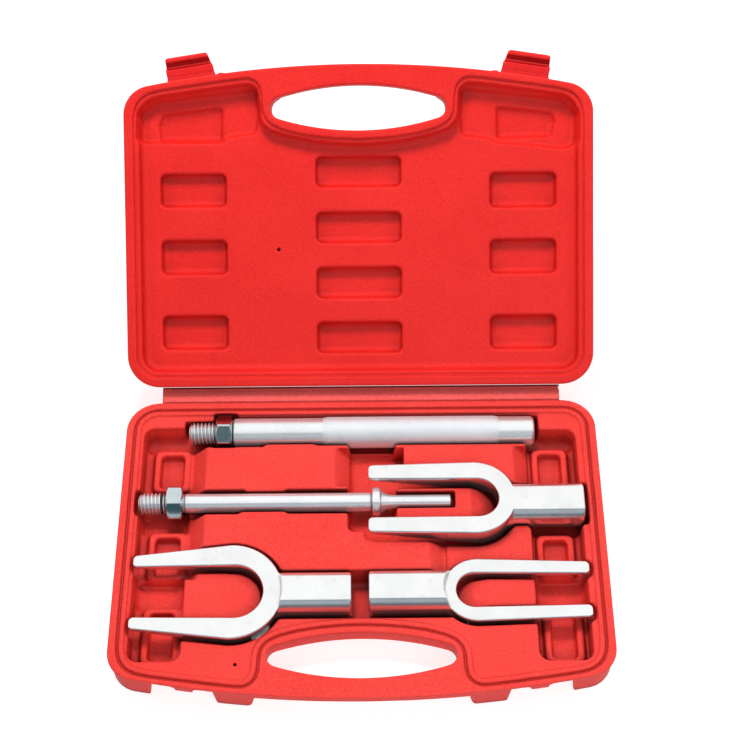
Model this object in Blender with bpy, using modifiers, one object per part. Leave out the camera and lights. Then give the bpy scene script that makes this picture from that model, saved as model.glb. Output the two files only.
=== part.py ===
"""Front end separator kit: three pickle forks, a striking handle and an air hammer adapter
in a hinged, double wall moulded case that stands open.

Frame: X along the case's width, +Y to the hinge at the rear, +Z up, origin under the middle
of the case base. Sizes are in millimetres and are multiplied by MM on their way into a mesh.
Plan places are given as (x, fwd), fwd being the distance from the rear rim edge towards the
front, and heights inside the base as down, the depth under the rim plane.
Cutters run a little past the surfaces they break through.
"""

import math
from typing import NamedTuple

import bmesh
import bpy
from mathutils import Matrix, Vector

MM = 0.001

# ---------------------------------------------------------------- case sizes
CASE_HALF_W = 177.5
CASE_D = 243.2  # rear rim edge to the middle of the bowed front edge
REAR_Y = CASE_D / 2  # y of the rear rim edge
RIM_Z = 27.0  # the base's rim plane
BODY_TOP = 25.0  # the base's body ends here, inside the rim flange
LID_H = 23.0
LID_BODY_LOW = 1.2  # the lid's body starts this far over its rim plane
RIM_GAP = 0.3  # between the two rims with the lid shut
LID_RIM_Z = RIM_Z + RIM_GAP
REAR_R, FRONT_R, BOW_R = 24.0, 22.0, 840.0  # rear corners, front corners, bowed front edge
FLANGE_T = 3.3  # thickness of the rim flange
WALL_IN = 1.8  # the side walls stand this far inside the flange
SKIN = 2.2  # wall thickness of the hollow shell
HOLLOW_TOP = 22.8  # top of the hollow in the base
EDGE_R = 11.0  # rounding of the outer edge, under the base and over the lid
DECK_DOWN = 2.0  # the tray's deck
PAD_DOWN = 0.5  # the raised pads between the tools
STEP_DOWN = 7.0  # the lower pad between the two right hand forks
FLOOR_DOWN = 20.8  # deepest tray floor
BLOCK_DOWN = 12.0  # tops of the blocks standing in the side troughs
LID_DECK, LID_CORNER, LID_POCKET = 12.0, 16.0, 20.0  # depths inside the lid
DECK_REAR = 11.8  # margin behind both decks
BASE_DECK_SIDE, BASE_DECK_FRONT = 13.0, 12.0  # the other margins of the tray's deck
LID_DECK_SIDE, LID_DECK_FRONT = 11.4, 11.5
DECK_CORNER_R = 12.0
LID_CORNER_R, LID_POCKET_R = 7.0, 5.0
NEEDLE_R, NEEDLE_DEPTH = 1.5, 8.0  # blow needle holes

# carrying handle, with a lens shaped hand hole through both halves
GRIP_T = 13.0  # thickness of one half
GRIP_HALF_W, GRIP_FWD = 74.0, 187.0  # the span where the body is thinned
HOLE_FWD, HOLE_HALF, HOLE_END_X, HOLE_END_R = 210.6, 17.1, 58.0, 8.3
HOLE_SIDE_R = (HOLE_END_X**2 + HOLE_HALF**2 - HOLE_END_R**2) / (2 * (HOLE_HALF - HOLE_END_R))
HOLE_SIDE_OFF = HOLE_SIDE_R - HOLE_HALF  # hole's centre to the centre of a long side's arc
HOLE_MARGIN = 9.5  # from the hole's rear side to the recessed deck

# hinge strip between the halves: one fold on the base, one on the lid
STRIP_W = 12.4  # from fold to fold
STRIP_T = 1.4
STRIP_HALF_L = 152.0
RAIL_HALF_L, RAIL_D = 153.0, 6.0  # the rails along the rear walls
FOLD_Y = REAR_Y + 1.1  # the folds lie behind the rear rim edges
BASE_FOLD_Z = RIM_Z - 2.5
LID_FOLD_Z = BASE_FOLD_Z + STRIP_W
LID_SHIFT = (0.0, -FOLD_Y, -LID_FOLD_Z)  # from the lid's shut place to its hinge frame
OPEN_DEG = 141.7  # how far the lid stands open, from shut

# latches and their catches
LATCH_X, LATCH_HALF = 126.0, 17.5
LATCH_CLEARANCE = 1.5  # pocket beyond each end of a latch
LATCH_PIVOT_UP = 5.2  # above the lid's rim plane, lid shut
LATCH_LEN = 18.0
LATCH_OPEN_DEG = 100.0
BASE_LATCH_POCKET, LID_LATCH_POCKET = 11.0, 5.0  # set back from the bowed edge
CATCH_X, CATCH_HALF, CATCH_DOWN, CATCH_FWD = 123.0, 6.5, 7.9, 219.0

# ---------------------------------------------------------------- tool sizes
AXIS_Z = RIM_Z - 5.0  # the tools' axes
THREAD_R, THREAD_ROOT, THREAD_PITCH = 7.95, 6.45, 2.8
NUT_ACROSS_FLATS, NUT_T, NUT_BORE_R = 24.0, 12.6, 8.3
NUT_GAP = 0.35  # between a nut and the shoulder
HANDLE_FWD = 25.1
HANDLE_X0, HANDLE_SHOULDER, KNURL_X0, KNURL_X1, HANDLE_X1 = -130.0, -96.6, -28.0, 103.0, 131.0
HANDLE_R, KNURL_R = 11.25, 12.0
ADAPTER_FWD = 86.0
ADAPTER_X0, ADAPTER_SHOULDER, ADAPTER_X1 = -164.0, -130.6, 66.0
ADAPTER_THREAD = (ADAPTER_SHOULDER - 0.2, ADAPTER_X0 + 1.4)  # its two ends
ADAPTER_R, COLLAR_R, SHANK_R = 7.0, 10.75, 5.1
RING_X = -147.0  # about here; the ring settles in the middle of a turn
RING_R, RING_SECTION_R = 7.42, 0.62
SOCKET_R, SOCKET_BORE_R, SOCKET_BORE_L = 16.0, 7.1, 34.0
SOCKET_FLAT = 13.2  # axis to the flats above and below the sockets
FORK_TIP_T = 5.0  # thickness of the tines at their tips


class Fork(NamedTuple):
    direction: int  # where the tines point along X
    tip_x: float
    yoke_x: float  # the yoke's outer end
    slot_x: float  # closed end of the slot
    fwd: float  # the fork's centre line
    yoke_half: float  # outer half widths at yoke and tips
    tip_half: float
    slot_half: float  # half gaps at the slot's closed end and at the tips
    tip_gap: float
    rise: float  # the flat upper face over the rim
    yoke_t: float  # thickness at the yoke
    socket_x: float  # the socket's free end
    tip_r: float


FORKS = {
    "ball_joint_fork": Fork(
        direction=-1, tip_x=5.0, yoke_x=113.0, slot_x=100.5, fwd=90.0,
        yoke_half=30.1, tip_half=28.3, slot_half=15.5, tip_gap=15.9,
        rise=8.6, yoke_t=24.0, socket_x=163.5, tip_r=4.0,
    ),
    "pitman_arm_fork": Fork(
        direction=-1, tip_x=-164.0, yoke_x=-56.0, slot_x=-70.0, fwd=162.0,
        yoke_half=37.3, tip_half=29.4, slot_half=20.4, tip_gap=19.6,
        rise=3.0, yoke_t=16.0, socket_x=-7.0, tip_r=4.2,
    ),
    "tie_rod_fork": Fork(
        direction=1, tip_x=163.6, yoke_x=58.0, slot_x=67.5, fwd=161.2,
        yoke_half=24.8, tip_half=22.2, slot_half=13.2, tip_gap=12.1,
        rise=0.6, yoke_t=11.6, socket_x=5.0, tip_r=4.2,
    ),
}

SIDES = (("left", -1), ("right", 1))

for old in list(bpy.data.objects):
    bpy.data.objects.remove(old, do_unlink=True)

PARTS = bpy.data.collections.new("front_end_separator_kit")
CUTTERS = bpy.data.collections.new("cutters")
bpy.context.scene.collection.children.link(PARTS)
bpy.context.scene.collection.children.link(CUTTERS)


# ---------------------------------------------------------------- objects
def place(name, mesh, cutter=True):
    obj = bpy.data.objects.new(name, mesh)
    (CUTTERS if cutter else PARTS).objects.link(obj)
    if cutter:
        obj.hide_render = True
        obj.display_type = "WIRE"
    return obj


def place_bmesh(bm, name, cutter=True):
    bmesh.ops.recalc_face_normals(bm, faces=bm.faces)
    mesh = bpy.data.meshes.new(name)
    bm.to_mesh(mesh)
    bm.free()
    return place(name, mesh, cutter)


def extruded(points, travel):
    """A bmesh solid swept from a flat outline of (x, y, z) points along the travel vector."""
    bm = bmesh.new()
    face = bm.faces.new([bm.verts.new((x * MM, y * MM, z * MM)) for x, y, z in points])
    result = bmesh.ops.extrude_face_region(bm, geom=[face], use_keep_orig=True)
    far = [item for item in result["geom"] if isinstance(item, bmesh.types.BMVert)]
    bmesh.ops.translate(bm, verts=far, vec=tuple(d * MM for d in travel))
    return bm


def prism(name, outline, z0, z1, cutter=True, bevel=0.0, bevel_top=False, shift=(0, 0, 0)):
    """An upright solid over (x, y) points, its lower or upper edges rounded by bevel."""
    dx, dy, dz = shift
    bm = extruded([(x + dx, y + dy, z0 + dz) for x, y in outline], (0, 0, z1 - z0))
    if bevel:
        bmesh.ops.recalc_face_normals(bm, faces=bm.faces)
        level = ((z1 if bevel_top else z0) + dz) * MM
        edges = [e for e in bm.edges if all(abs(v.co.z - level) < 1e-7 for v in e.verts)]
        bmesh.ops.bevel(
            bm, geom=edges, offset=bevel * MM, offset_type="OFFSET",
            segments=3, profile=0.5, affect="EDGES",
        )
    return place_bmesh(bm, name, cutter)


def block(name, x0, x1, fwd0, fwd1, z0, z1, radius=0.0, shift=(0, 0, 0)):
    """An upright block given by its plan corners, its upright edges rounded by radius."""
    outline = to_xy(rectangle(x0, x1, fwd0, fwd1))
    if radius:
        outline = rounded(outline, radius)
    return prism(name, outline, z0, z1, shift=shift)


def bar(name, profile, half_length):
    """A visible solid of constant (y, z) profile, running along X."""
    bm = extruded([(-half_length, y, z) for y, z in profile], (2 * half_length, 0, 0))
    return place_bmesh(bm, name, cutter=False)


def cylinder(name, radius, depth, segments, centre=(0, 0, 0)):
    bm = bmesh.new()
    bmesh.ops.create_cone(
        bm, cap_ends=True, segments=segments, radius1=radius * MM, radius2=radius * MM,
        depth=depth * MM, matrix=Matrix.Translation(Vector(centre) * MM),
    )
    return place_bmesh(bm, name)


def turned(name, profile, steps, cutter=True):
    """A solid of revolution about local Z.

    The profile's (r, z) points run down the outer side, from axis to axis or round a closed
    ring section.
    """
    closed = profile[0] == profile[-1]
    points = profile[:-1] if closed else profile
    edges = [(i, i + 1) for i in range(len(points) - 1)]
    if closed:
        edges.append((len(points) - 1, 0))
    mesh = bpy.data.meshes.new(name)
    mesh.from_pydata([(r * MM, 0, z * MM) for r, z in points], edges, [])
    obj = place(name, mesh, cutter)
    screw = obj.modifiers.new("screw", "SCREW")
    screw.axis = "Z"
    screw.angle = math.tau
    screw.steps = screw.render_steps = steps
    screw.use_merge_vertices = True
    screw.merge_threshold = 0.00001
    screw.use_smooth_shade = True
    return obj


def boolean(obj, other, operation="DIFFERENCE"):
    modifier = obj.modifiers.new(f"{operation.lower()}_{other.name}"[:60], "BOOLEAN")
    modifier.operation = operation
    modifier.object = other
    modifier.solver = "EXACT"


def discard(*objects):
    for obj in objects:
        bpy.data.objects.remove(obj, do_unlink=True)


def baked(obj, name=None, cutter=True):
    """Replace an object by its evaluated mesh, with the shape at its place in the world."""
    bpy.context.view_layer.update()
    depsgraph = bpy.context.evaluated_depsgraph_get()
    mesh = bpy.data.meshes.new_from_object(obj.evaluated_get(depsgraph))
    mesh.transform(obj.matrix_world)
    bm = bmesh.new()
    bm.from_mesh(mesh)
    bmesh.ops.remove_doubles(bm, verts=bm.verts, dist=0.000001)
    bmesh.ops.recalc_face_normals(bm, faces=bm.faces)
    bm.to_mesh(mesh)
    bm.free()
    name = name or obj.name
    discard(obj)
    return place(name, mesh, cutter)


def give_material(obj, mat):
    """Make mat the only material; baking may have left empty slots."""
    obj.data.materials.clear()
    obj.data.materials.append(mat)


# ---------------------------------------------------------------- places and outlines
def z_at(down):
    return RIM_Z - down


def to_xy(points):
    return [(x, REAR_Y - fwd) for x, fwd in points]


def rectangle(x0, x1, fwd0, fwd1):
    return [(x0, fwd0), (x1, fwd0), (x1, fwd1), (x0, fwd1)]


def arc(centre_x, centre_y, radius, start, end, steps):
    """Points along an arc between two angles in degrees."""
    angles = [math.radians(start + (end - start) * i / steps) for i in range(steps + 1)]
    return [(centre_x + radius * math.cos(a), centre_y + radius * math.sin(a)) for a in angles]


def clean(points, tolerance=0.05):
    """The closed outline without points that fall on their predecessor."""
    kept = []
    for point in points:
        if not kept or math.dist(point, kept[-1]) > tolerance:
            kept.append(point)
    if math.dist(kept[0], kept[-1]) <= tolerance:
        kept.pop()
    return kept


def rounded(points, radius, steps=3, min_turn=0.0):
    """A polygon with arcs for corners, of a lesser radius where a side is short.

    Corners that turn by no more than min_turn degrees stay as they are.
    """
    out = []
    for i, point in enumerate(points):
        corner = Vector(point)
        to_last = Vector(points[i - 1]) - corner
        to_next = Vector(points[(i + 1) % len(points)]) - corner
        angle = to_last.angle(to_next)
        if abs(180 - math.degrees(angle)) <= min_turn:
            out.append(point)
            continue
        tangent = min(radius / math.tan(angle / 2), 0.45 * to_last.length, 0.45 * to_next.length)
        arc_r = tangent * math.tan(angle / 2)
        last_way, next_way = to_last.normalized(), to_next.normalized()
        start = corner + last_way * tangent
        end = corner + next_way * tangent
        centre = corner + (last_way + next_way).normalized() * (arc_r / math.sin(angle / 2))
        first = math.atan2(start.y - centre.y, start.x - centre.x)
        last = math.atan2(end.y - centre.y, end.x - centre.x)
        sweep = (last - first + math.pi) % math.tau - math.pi
        for j in range(steps + 1):
            a = first + sweep * j / steps
            out.append((centre.x + arc_r * math.cos(a), centre.y + arc_r * math.sin(a)))
    return out


def bow_fwd(x, inset=0.0):
    """Where the bowed front edge lies at x."""
    return CASE_D - BOW_R + math.sqrt((BOW_R - inset) ** 2 - x * x)


def case_outline(inset=0.0):
    """The outline both halves share, moved in by inset."""
    corner_steps, bow_steps = 5, 10
    rear_x = CASE_HALF_W - REAR_R
    front_x = CASE_HALF_W - FRONT_R
    bow_centre = CASE_D - BOW_R
    front_fwd = bow_centre + math.sqrt((BOW_R - FRONT_R) ** 2 - front_x**2)
    half_bow = math.degrees(math.atan2(front_x, front_fwd - bow_centre))
    rear_r, front_r, bow_r = REAR_R - inset, FRONT_R - inset, BOW_R - inset
    points = arc(rear_x, REAR_R, rear_r, -90, 0, corner_steps)
    points += arc(front_x, front_fwd, front_r, 0, 90 - half_bow, corner_steps)
    points += arc(0, bow_centre, bow_r, 90 - half_bow, 90 + half_bow, bow_steps)
    points += arc(-front_x, front_fwd, front_r, 90 + half_bow, 180, corner_steps)
    points += arc(-rear_x, REAR_R, rear_r, 180, 270, corner_steps)
    return clean(to_xy(points))


def hole_outline(grow=0.0):
    """The lens shaped hand hole."""
    side_steps, end_steps = 10, 4
    half = math.degrees(math.atan2(HOLE_END_X, HOLE_SIDE_OFF))
    side_r, end_r = HOLE_SIDE_R + grow, HOLE_END_R + grow
    points = arc(0, HOLE_FWD + HOLE_SIDE_OFF, side_r, -90 - half, -90 + half, side_steps)
    points += arc(HOLE_END_X, HOLE_FWD, end_r, -90 + half, 90 - half, end_steps)
    points += arc(0, HOLE_FWD - HOLE_SIDE_OFF, side_r, 90 - half, 90 + half, side_steps)
    points += arc(-HOLE_END_X, HOLE_FWD, end_r, 90 + half, 270 - half, end_steps)
    return clean(to_xy(points))


def deck_outline(side, rear, front, grow=0.0):
    """The recessed area inside the rim, which passes behind the hand hole.

    side, rear and front are its margins from the case's outline.
    """
    side, rear, front = side - grow, rear - grow, front - grow
    behind_r = HOLE_SIDE_R + HOLE_MARGIN - grow
    behind_x = 66.0  # half width of the arc behind the hand hole
    behind_steps = 8
    lobe_x = 77.0 - grow  # inner side of the lobes that flank the hole

    def behind_fwd(x):
        return HOLE_FWD + HOLE_SIDE_OFF - math.sqrt(behind_r**2 - x**2)

    side_x = CASE_HALF_W - side
    arc_end = behind_fwd(behind_x)
    right = [(side_x, rear), (side_x, bow_fwd(side_x - 6, front) - 3.0)]
    right += [(x, bow_fwd(x, front)) for x in (150.0, 115.0, lobe_x)]
    right += [(lobe_x, arc_end + 5.0), (behind_x, arc_end)]
    middle_x = [behind_x - 2 * behind_x * i / behind_steps for i in range(1, behind_steps)]
    middle = [(x, behind_fwd(x)) for x in middle_x]
    left = [(-x, fwd) for x, fwd in reversed(right)]
    outline = to_xy(right + middle + left)
    return clean(rounded(outline, DECK_CORNER_R, steps=4, min_turn=12))


def fork_outline(fork, grow=0.0):
    """The U shaped plan of a fork, grown all round."""
    way = fork.direction
    yoke_centre = fork.yoke_x + way * fork.yoke_half
    slot_centre = fork.slot_x + way * fork.slot_half
    tip = fork.tip_x + way * grow
    yoke, tip_half = fork.yoke_half + grow, fork.tip_half + grow
    slot, gap = fork.slot_half - grow, fork.tip_gap - grow
    tip_r = min(fork.tip_r + grow, 0.45 * (tip_half - gap))
    # one tine's end, from its outer to its inner side; here y is measured off the centre line
    tine = [
        (tip - way * tip_r, -tip_half),
        (tip - way * 0.3 * tip_r, -tip_half + 0.3 * tip_r),
        (tip, -tip_half + tip_r),
        (tip, -gap - tip_r),
        (tip - way * 0.3 * tip_r, -gap - 0.3 * tip_r),
        (tip - way * tip_r, -gap),
    ]
    steps = 10
    angles = [math.radians(-90 + 180 * i / steps) for i in range(steps + 1)]
    points = list(tine)
    points += [(slot_centre - way * slot * math.cos(a), slot * math.sin(a)) for a in angles]
    points += [(x, -y) for x, y in reversed(tine)]
    points += [
        (yoke_centre - way * yoke * math.cos(a), yoke * math.sin(a)) for a in reversed(angles)
    ]
    return clean([(x, REAR_Y - fork.fwd - y) for x, y in points])


# ---------------------------------------------------------------- materials
def material(name, colour, roughness, metallic):
    mat = bpy.data.materials.new(name)
    mat.use_nodes = True
    shader = mat.node_tree.nodes["Principled BSDF"]
    shader.inputs["Base Color"].default_value = (*colour, 1)
    shader.inputs["Roughness"].default_value = roughness
    shader.inputs["Metallic"].default_value = metallic
    return mat


def plastic(name, colour, roughness):
    return material(name, colour=colour, roughness=roughness, metallic=0.0)


def steel(name, colour, roughness):
    return material(name, colour=colour, roughness=roughness, metallic=1.0)


RED = plastic("red_case_plastic", colour=(0.80, 0.055, 0.045), roughness=0.42)
RED_LID = plastic("red_lid_plastic", colour=(0.74, 0.045, 0.040), roughness=0.42)
RED_STRIP = plastic("red_strip_plastic", colour=(0.84, 0.08, 0.065), roughness=0.40)
RED_LATCH = {
    tag: plastic(f"red_latch_plastic_{tag}", colour=(0.78, 0.03, 0.025), roughness=0.38)
    for tag, _ in SIDES
}
FORK_STEEL = {
    name: steel(f"plated_steel_{name}", colour=(0.80, 0.82, 0.84), roughness=0.30)
    for name in FORKS
}
HANDLE_STEEL = steel("plated_steel_handle", colour=(0.76, 0.78, 0.80), roughness=0.34)
ADAPTER_STEEL = steel("plated_steel_adapter", colour=(0.80, 0.82, 0.85), roughness=0.28)
NUT_STEEL = {
    tool: steel(f"dark_plated_nut_{tool}", colour=(0.40, 0.48, 0.50), roughness=0.22)
    for tool in ("handle", "adapter")
}
RUBBER = material(
    "black_ring_rubber", colour=(0.02, 0.02, 0.02), roughness=0.75, metallic=0.0
)


# ---------------------------------------------------------------- the tray's hollows
# Each maker takes the cutter's name and how far to grow it all round and downwards.
def cutter_top(grow):
    return RIM_Z + 1.0 + grow


def cut_outline(name, grow, points, down):
    """points: x, its growth direction, fwd, its growth direction."""
    grown = [(x + grow * x_way, fwd + grow * fwd_way) for x, x_way, fwd, fwd_way in points]
    return prism(name, to_xy(grown), z_at(down) - grow, cutter_top(grow))


def cut_box(name, grow, x0, x1, fwd0, fwd1, down, radius=0.0):
    plan = (x0 - grow, x1 + grow, fwd0 - grow, fwd1 + grow)
    return block(name, *plan, z_at(down) - grow, cutter_top(grow), radius)


def cut_ramp(name, grow, x0, down0, x1, down1, fwd0, fwd1):
    """A sloping cut from depth down0 at x0 to depth down1 at x1."""
    drop = 1.25 * grow  # keeps the wall under a slope about as thick as the others
    top = cutter_top(grow) + 0.6
    side = [(x0, z_at(down0) - drop), (x1, z_at(down1) - drop), (x1, top), (x0, top)]
    points = [(x, REAR_Y - fwd0 + grow, z) for x, z in side]
    return place_bmesh(extruded(points, (0, -(fwd1 - fwd0 + 2 * grow), 0)), name)


def cut_nest(name, grow, fork, down, extra_top):
    """A fork's nest, 1.9 wider than the fork all round."""
    outline = fork_outline(FORKS[fork], 1.9 + grow)
    return prism(name, outline, z_at(down) - grow, cutter_top(grow) + extra_top)


# x, growth direction, fwd, growth direction: a wider place for the nut, then the bar
HANDLE_CRADLE = [
    (-133.5, -1, 15.4, -1), (-111.2, -1, 15.4, -1), (-111.2, -1, 10.3, -1),
    (-94.8, 1, 10.3, -1), (-94.8, 1, 12.5, -1), (134.2, 1, 12.5, -1),
    (134.2, 1, 38.6, 1), (-33.0, 1, 38.6, 1), (-36.0, 1, 37.2, 1),
    (-71.0, -1, 37.2, 1), (-74.0, -1, 39.4, 1), (-133.5, -1, 39.4, 1),
]
# the same columns; its ends open into the troughs and do not grow along X
ADAPTER_CRADLE = [
    (-128.0, 0, 76.6, -1), (-87.0, -1, 76.6, -1), (-84.0, -1, 78.2, -1),
    (-58.0, 1, 78.2, -1), (-55.0, 1, 76.6, -1), (-8.0, 0, 76.6, -1),
    (-8.0, 0, 97.4, 1), (-53.0, 1, 97.4, 1), (-57.0, 1, 95.6, 1),
    (-87.0, -1, 95.6, 1), (-91.0, -1, 97.4, 1), (-128.0, 0, 97.4, 1),
]

# maker, name, then: outline: points, down; box: x0, x1, fwd0, fwd1, down, radius;
# ramp: x0, down0, x1, down1, fwd0, fwd1; nest: fork, down, extra top
TRAY_HOLLOWS = [
    (cut_outline, "cradle_handle", HANDLE_CRADLE, 17.5),
    (cut_box, "well_handle_nut", -111.0, -95.0, 10.7, 39.2, 19.4),
    # troughs across the tray at both ends and in the middle
    (cut_box, "trough_left", -164.0, -126.5, 21.6, 213.6, FLOOR_DOWN, 7.0),
    (cut_box, "trough_right", 123.6, 161.8, 25.4, 215.0, FLOOR_DOWN, 7.0),
    (cut_box, "trough_middle", -10.0, 26.0, 36.4, 113.0, FLOOR_DOWN - 0.4, 5.0),
    (cut_outline, "cradle_adapter", ADAPTER_CRADLE, 12.5),
    (cut_box, "notch_adapter", -166.6, -158.0, 76.2, 96.2, 13.6, 2.5),
    (cut_box, "cradle_shank", 24.0, 69.0, 79.4, 93.0, 10.6),
    # the pads' ends slope down
    (cut_ramp, "slope_pad_1_left", -129.0, 15.9, -115.2, 0.4, 33.0, 82.0),
    (cut_ramp, "slope_pad_1_right", -20.0, 0.4, -8.2, 13.3, 41.5, 74.8),
    (cut_ramp, "slope_pad_2_left", -129.0, 15.7, -114.0, 0.35, 91.5, 148.7),
    (cut_ramp, "slope_pad_2_right", 49.0, 0.3, 59.0, STEP_DOWN + 0.9, 112.0, 151.0),
    (cut_ramp, "slope_pad_4_right", 113.0, 0.45, 126.0, 13.9, 41.0, 71.8),
    # the lower pad between the right hand forks, and the islands inside the forks
    (cut_box, "lower_pad", 58.0, 124.4, 108.3, 149.0, STEP_DOWN),
    (cut_box, "island_tie_rod", 76.0, 124.2, 148.2, 174.3, 4.6),
    (cut_ramp, "slope_island_tie_rod", 66.0, 13.1, 91.0, 4.55, 148.0, 174.5),
    (cut_box, "island_pitman", -129.2, -101.0, 139.0, 185.0, 4.5),
    (cut_ramp, "slope_island_pitman", -103.0, 4.45, -70.0, 8.9, 138.8, 185.2),
    (cut_ramp, "slope_island_ball_joint", 82.0, 1.7, 99.0, 12.7, 75.6, 104.4),
    # nests of the forks and their sockets
    (cut_nest, "nest_ball_joint", "ball_joint_fork", 15.9, 0.2),
    (cut_nest, "nest_pitman", "pitman_arm_fork", 13.5, 0.3),
    (cut_nest, "nest_tie_rod", "tie_rod_fork", 11.5, 0.4),
    (cut_box, "nest_ball_socket", 107.0, 166.4, 73.4, 107.1, FLOOR_DOWN - 0.1, 2.5),
    (cut_box, "nest_front_sockets", -62.2, 64.2, 144.6, 181.2, FLOOR_DOWN - 0.15, 2.5),
]


def cut_tray_hollows(target, grow):
    for maker, name, *sizes in TRAY_HOLLOWS:
        boolean(target, maker(f"{name}_{int(grow * 10)}", grow, *sizes))


# ---------------------------------------------------------------- case base
# plan boxes: x0, x1, fwd0, fwd1
RAISED_PADS = [
    (-127.0, -8.0, 36.0, 80.0), (-127.0, 60.0, 93.0, 150.0), (24.0, 124.5, 36.0, 110.0),
]
TROUGH_BLOCKS = [
    (-155.8, -128.6, 35.9, 71.4), (-155.8, -128.0, 106.6, 144.6), (-155.8, -128.4, 168.0, 211.6),
    (128.4, 155.2, 37.3, 72.6), (128.0, 155.2, 111.2, 144.6), (129.2, 156.8, 168.0, 212.4),
]
BLOCK_FEET = [(-158.0, -126.2, 34.0, 213.4), (126.2, 158.8, 36.0, 214.2)]


def cut_latch_pockets(target, grow, z0, z1, depth, shift=(0, 0, 0)):
    """Set back the front wall where the latches close: slices along the bowed edge."""
    half = LATCH_HALF + LATCH_CLEARANCE + grow
    for tag, side in SIDES:
        centre = side * LATCH_X
        stations = (centre - half, centre - half / 2, centre, centre + half / 2, centre + half)
        points = [(x, bow_fwd(x, depth + grow)) for x in stations]
        points += [(centre + half, CASE_D + 12), (centre - half, CASE_D + 12)]
        name = f"latch_pocket_{tag[0]}_{int(grow * 10)}_{int(z1 * 10)}"
        boolean(target, prism(name, to_xy(points), z0, z1, shift=shift))


def add_catches(base):
    for tag, side in SIDES:
        centre = side * CATCH_X
        low, high = centre - CATCH_HALF, centre + CATCH_HALF
        points = [(low, CATCH_FWD), (high, CATCH_FWD)]
        points += [(x, bow_fwd(x, 0.4)) for x in (high, centre, low)]
        catch = prism(
            f"catch_{tag[0]}", to_xy(points), z_at(CATCH_DOWN), z_at(FLANGE_T - 0.8)
        )
        boolean(base, catch, "UNION")


def add_trough_blocks(base):
    """Blocks that stand in the side troughs, each with a pocket down to the floor."""
    floor = z_at(FLOOR_DOWN)
    for i, (x0, x1, fwd0, fwd1) in enumerate(TROUGH_BLOCKS):
        solid = block(
            f"trough_block_{i}", x0, x1, fwd0, fwd1, floor - 1.0, z_at(BLOCK_DOWN), 5.0
        )
        boolean(base, solid, "UNION")
        pocket = block(
            f"trough_pocket_{i}", x0 + 4.6, x1 - 4.8, fwd0 + 3.8, fwd1 - 3.0,
            floor + 0.3, RIM_Z + 2.0, 3.5,
        )
        boolean(base, pocket)


def cut_base_grip(target, names, wall=0.0):
    """Thin the body at the carrying handle and open the hand hole, leaving a wall."""
    under, hole = names
    half = GRIP_HALF_W + wall
    plan = (-half, half, GRIP_FWD - wall, CASE_D + 10)
    boolean(target, block(under, *plan, -1.0, z_at(GRIP_T) + wall))
    boolean(target, prism(hole, hole_outline(wall), -2.0, RIM_Z + 2.0))


def build_base_hollow():
    """The hollow between the two walls."""
    core = prism(
        "base_hollow", case_outline(WALL_IN + SKIN), SKIN, HOLLOW_TOP, bevel=EDGE_R - SKIN
    )
    cut_latch_pockets(core, SKIN, -1.0, RIM_Z + 1, BASE_LATCH_POCKET)
    cut_tray_hollows(core, SKIN)
    for i, plan in enumerate(BLOCK_FEET):
        boolean(core, block(f"block_feet_{i}", *plan, 4.6, RIM_Z))
    cut_base_grip(core, ("base_grip_under_hollow", "hand_hole_wall"), SKIN)
    return core


def build_base():
    base = prism("case_base", case_outline(WALL_IN), 0, BODY_TOP, cutter=False, bevel=EDGE_R)
    boolean(base, prism("base_rim", case_outline(), z_at(FLANGE_T), RIM_Z), "UNION")
    rail = (-RAIL_HALF_L, RAIL_HALF_L, 0.02, RAIL_D)
    boolean(base, block("base_hinge_rail", *rail, z_at(6.2), RIM_Z - 0.6), "UNION")
    cut_latch_pockets(base, 0.0, -1.0, z_at(FLANGE_T), BASE_LATCH_POCKET)
    add_catches(base)
    deck = deck_outline(BASE_DECK_SIDE, DECK_REAR, BASE_DECK_FRONT)
    boolean(base, prism("tray_deck", deck, z_at(DECK_DOWN), RIM_Z + 1.0))
    for i, plan in enumerate(RAISED_PADS):
        pad = block(f"raised_pad_{i}", *plan, z_at(DECK_DOWN) - 1.0, z_at(PAD_DOWN))
        boolean(base, pad, "UNION")
    cut_tray_hollows(base, 0.0)
    add_trough_blocks(base)
    cut_base_grip(base, ("base_grip_under", "hand_hole"))
    boolean(base, build_base_hollow())
    centre = (-88.0, REAR_Y - 216.5, 23.0)
    boolean(base, cylinder("needle_hole_base", NEEDLE_R, NEEDLE_DEPTH, 12, centre))
    give_material(base, RED)


# ---------------------------------------------------------------- lid
# Modelled shut, with its hinge axis at the origin. Heights are over the lid's rim plane.
# (x, fwd) outlines on the right hand side, mirrored for the left
CORNER_RECESS = [(76, 190), (165, 186), (165, 214), (154, 219.5), (77, 227)]
CORNER_POCKET = [(101, 190.5), (150, 188), (150, 207.5), (101, 214.5)]
# x0, x1, fwd0, fwd1
DECK_POCKETS = [
    (-151.5, -100.5, 136.5, 163.5), (-151.5, -100.5, 85.0, 112.5), (-151.5, -100.5, 27.5, 54.5),
    (-33.5, 32.5, 151.0, 175.5), (-33.5, 32.5, 108.5, 133.0),
    (-33.5, 32.5, 66.0, 91.0), (-33.5, 32.5, 24.0, 48.8),
    (99.5, 151.0, 134.5, 162.5), (99.5, 151.0, 84.0, 111.2), (99.5, 151.0, 26.0, 53.0),
]


def lid_prism(name, outline, low, high, **options):
    return prism(name, outline, LID_RIM_Z + low, LID_RIM_Z + high, shift=LID_SHIFT, **options)


def lid_block(name, x0, x1, fwd0, fwd1, low, high):
    z0, z1 = LID_RIM_Z + low, LID_RIM_Z + high
    return block(name, x0, x1, fwd0, fwd1, z0, z1, shift=LID_SHIFT)


def mirrored(points, side):
    return [(side * x, fwd) for x, fwd in points]


def spread(points, centre_x, centre_fwd):
    """Move points away from a centre by the wall thickness along each axis."""
    return [
        (x + math.copysign(SKIN, x - centre_x), fwd + math.copysign(SKIN, fwd - centre_fwd))
        for x, fwd in points
    ]


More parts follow.
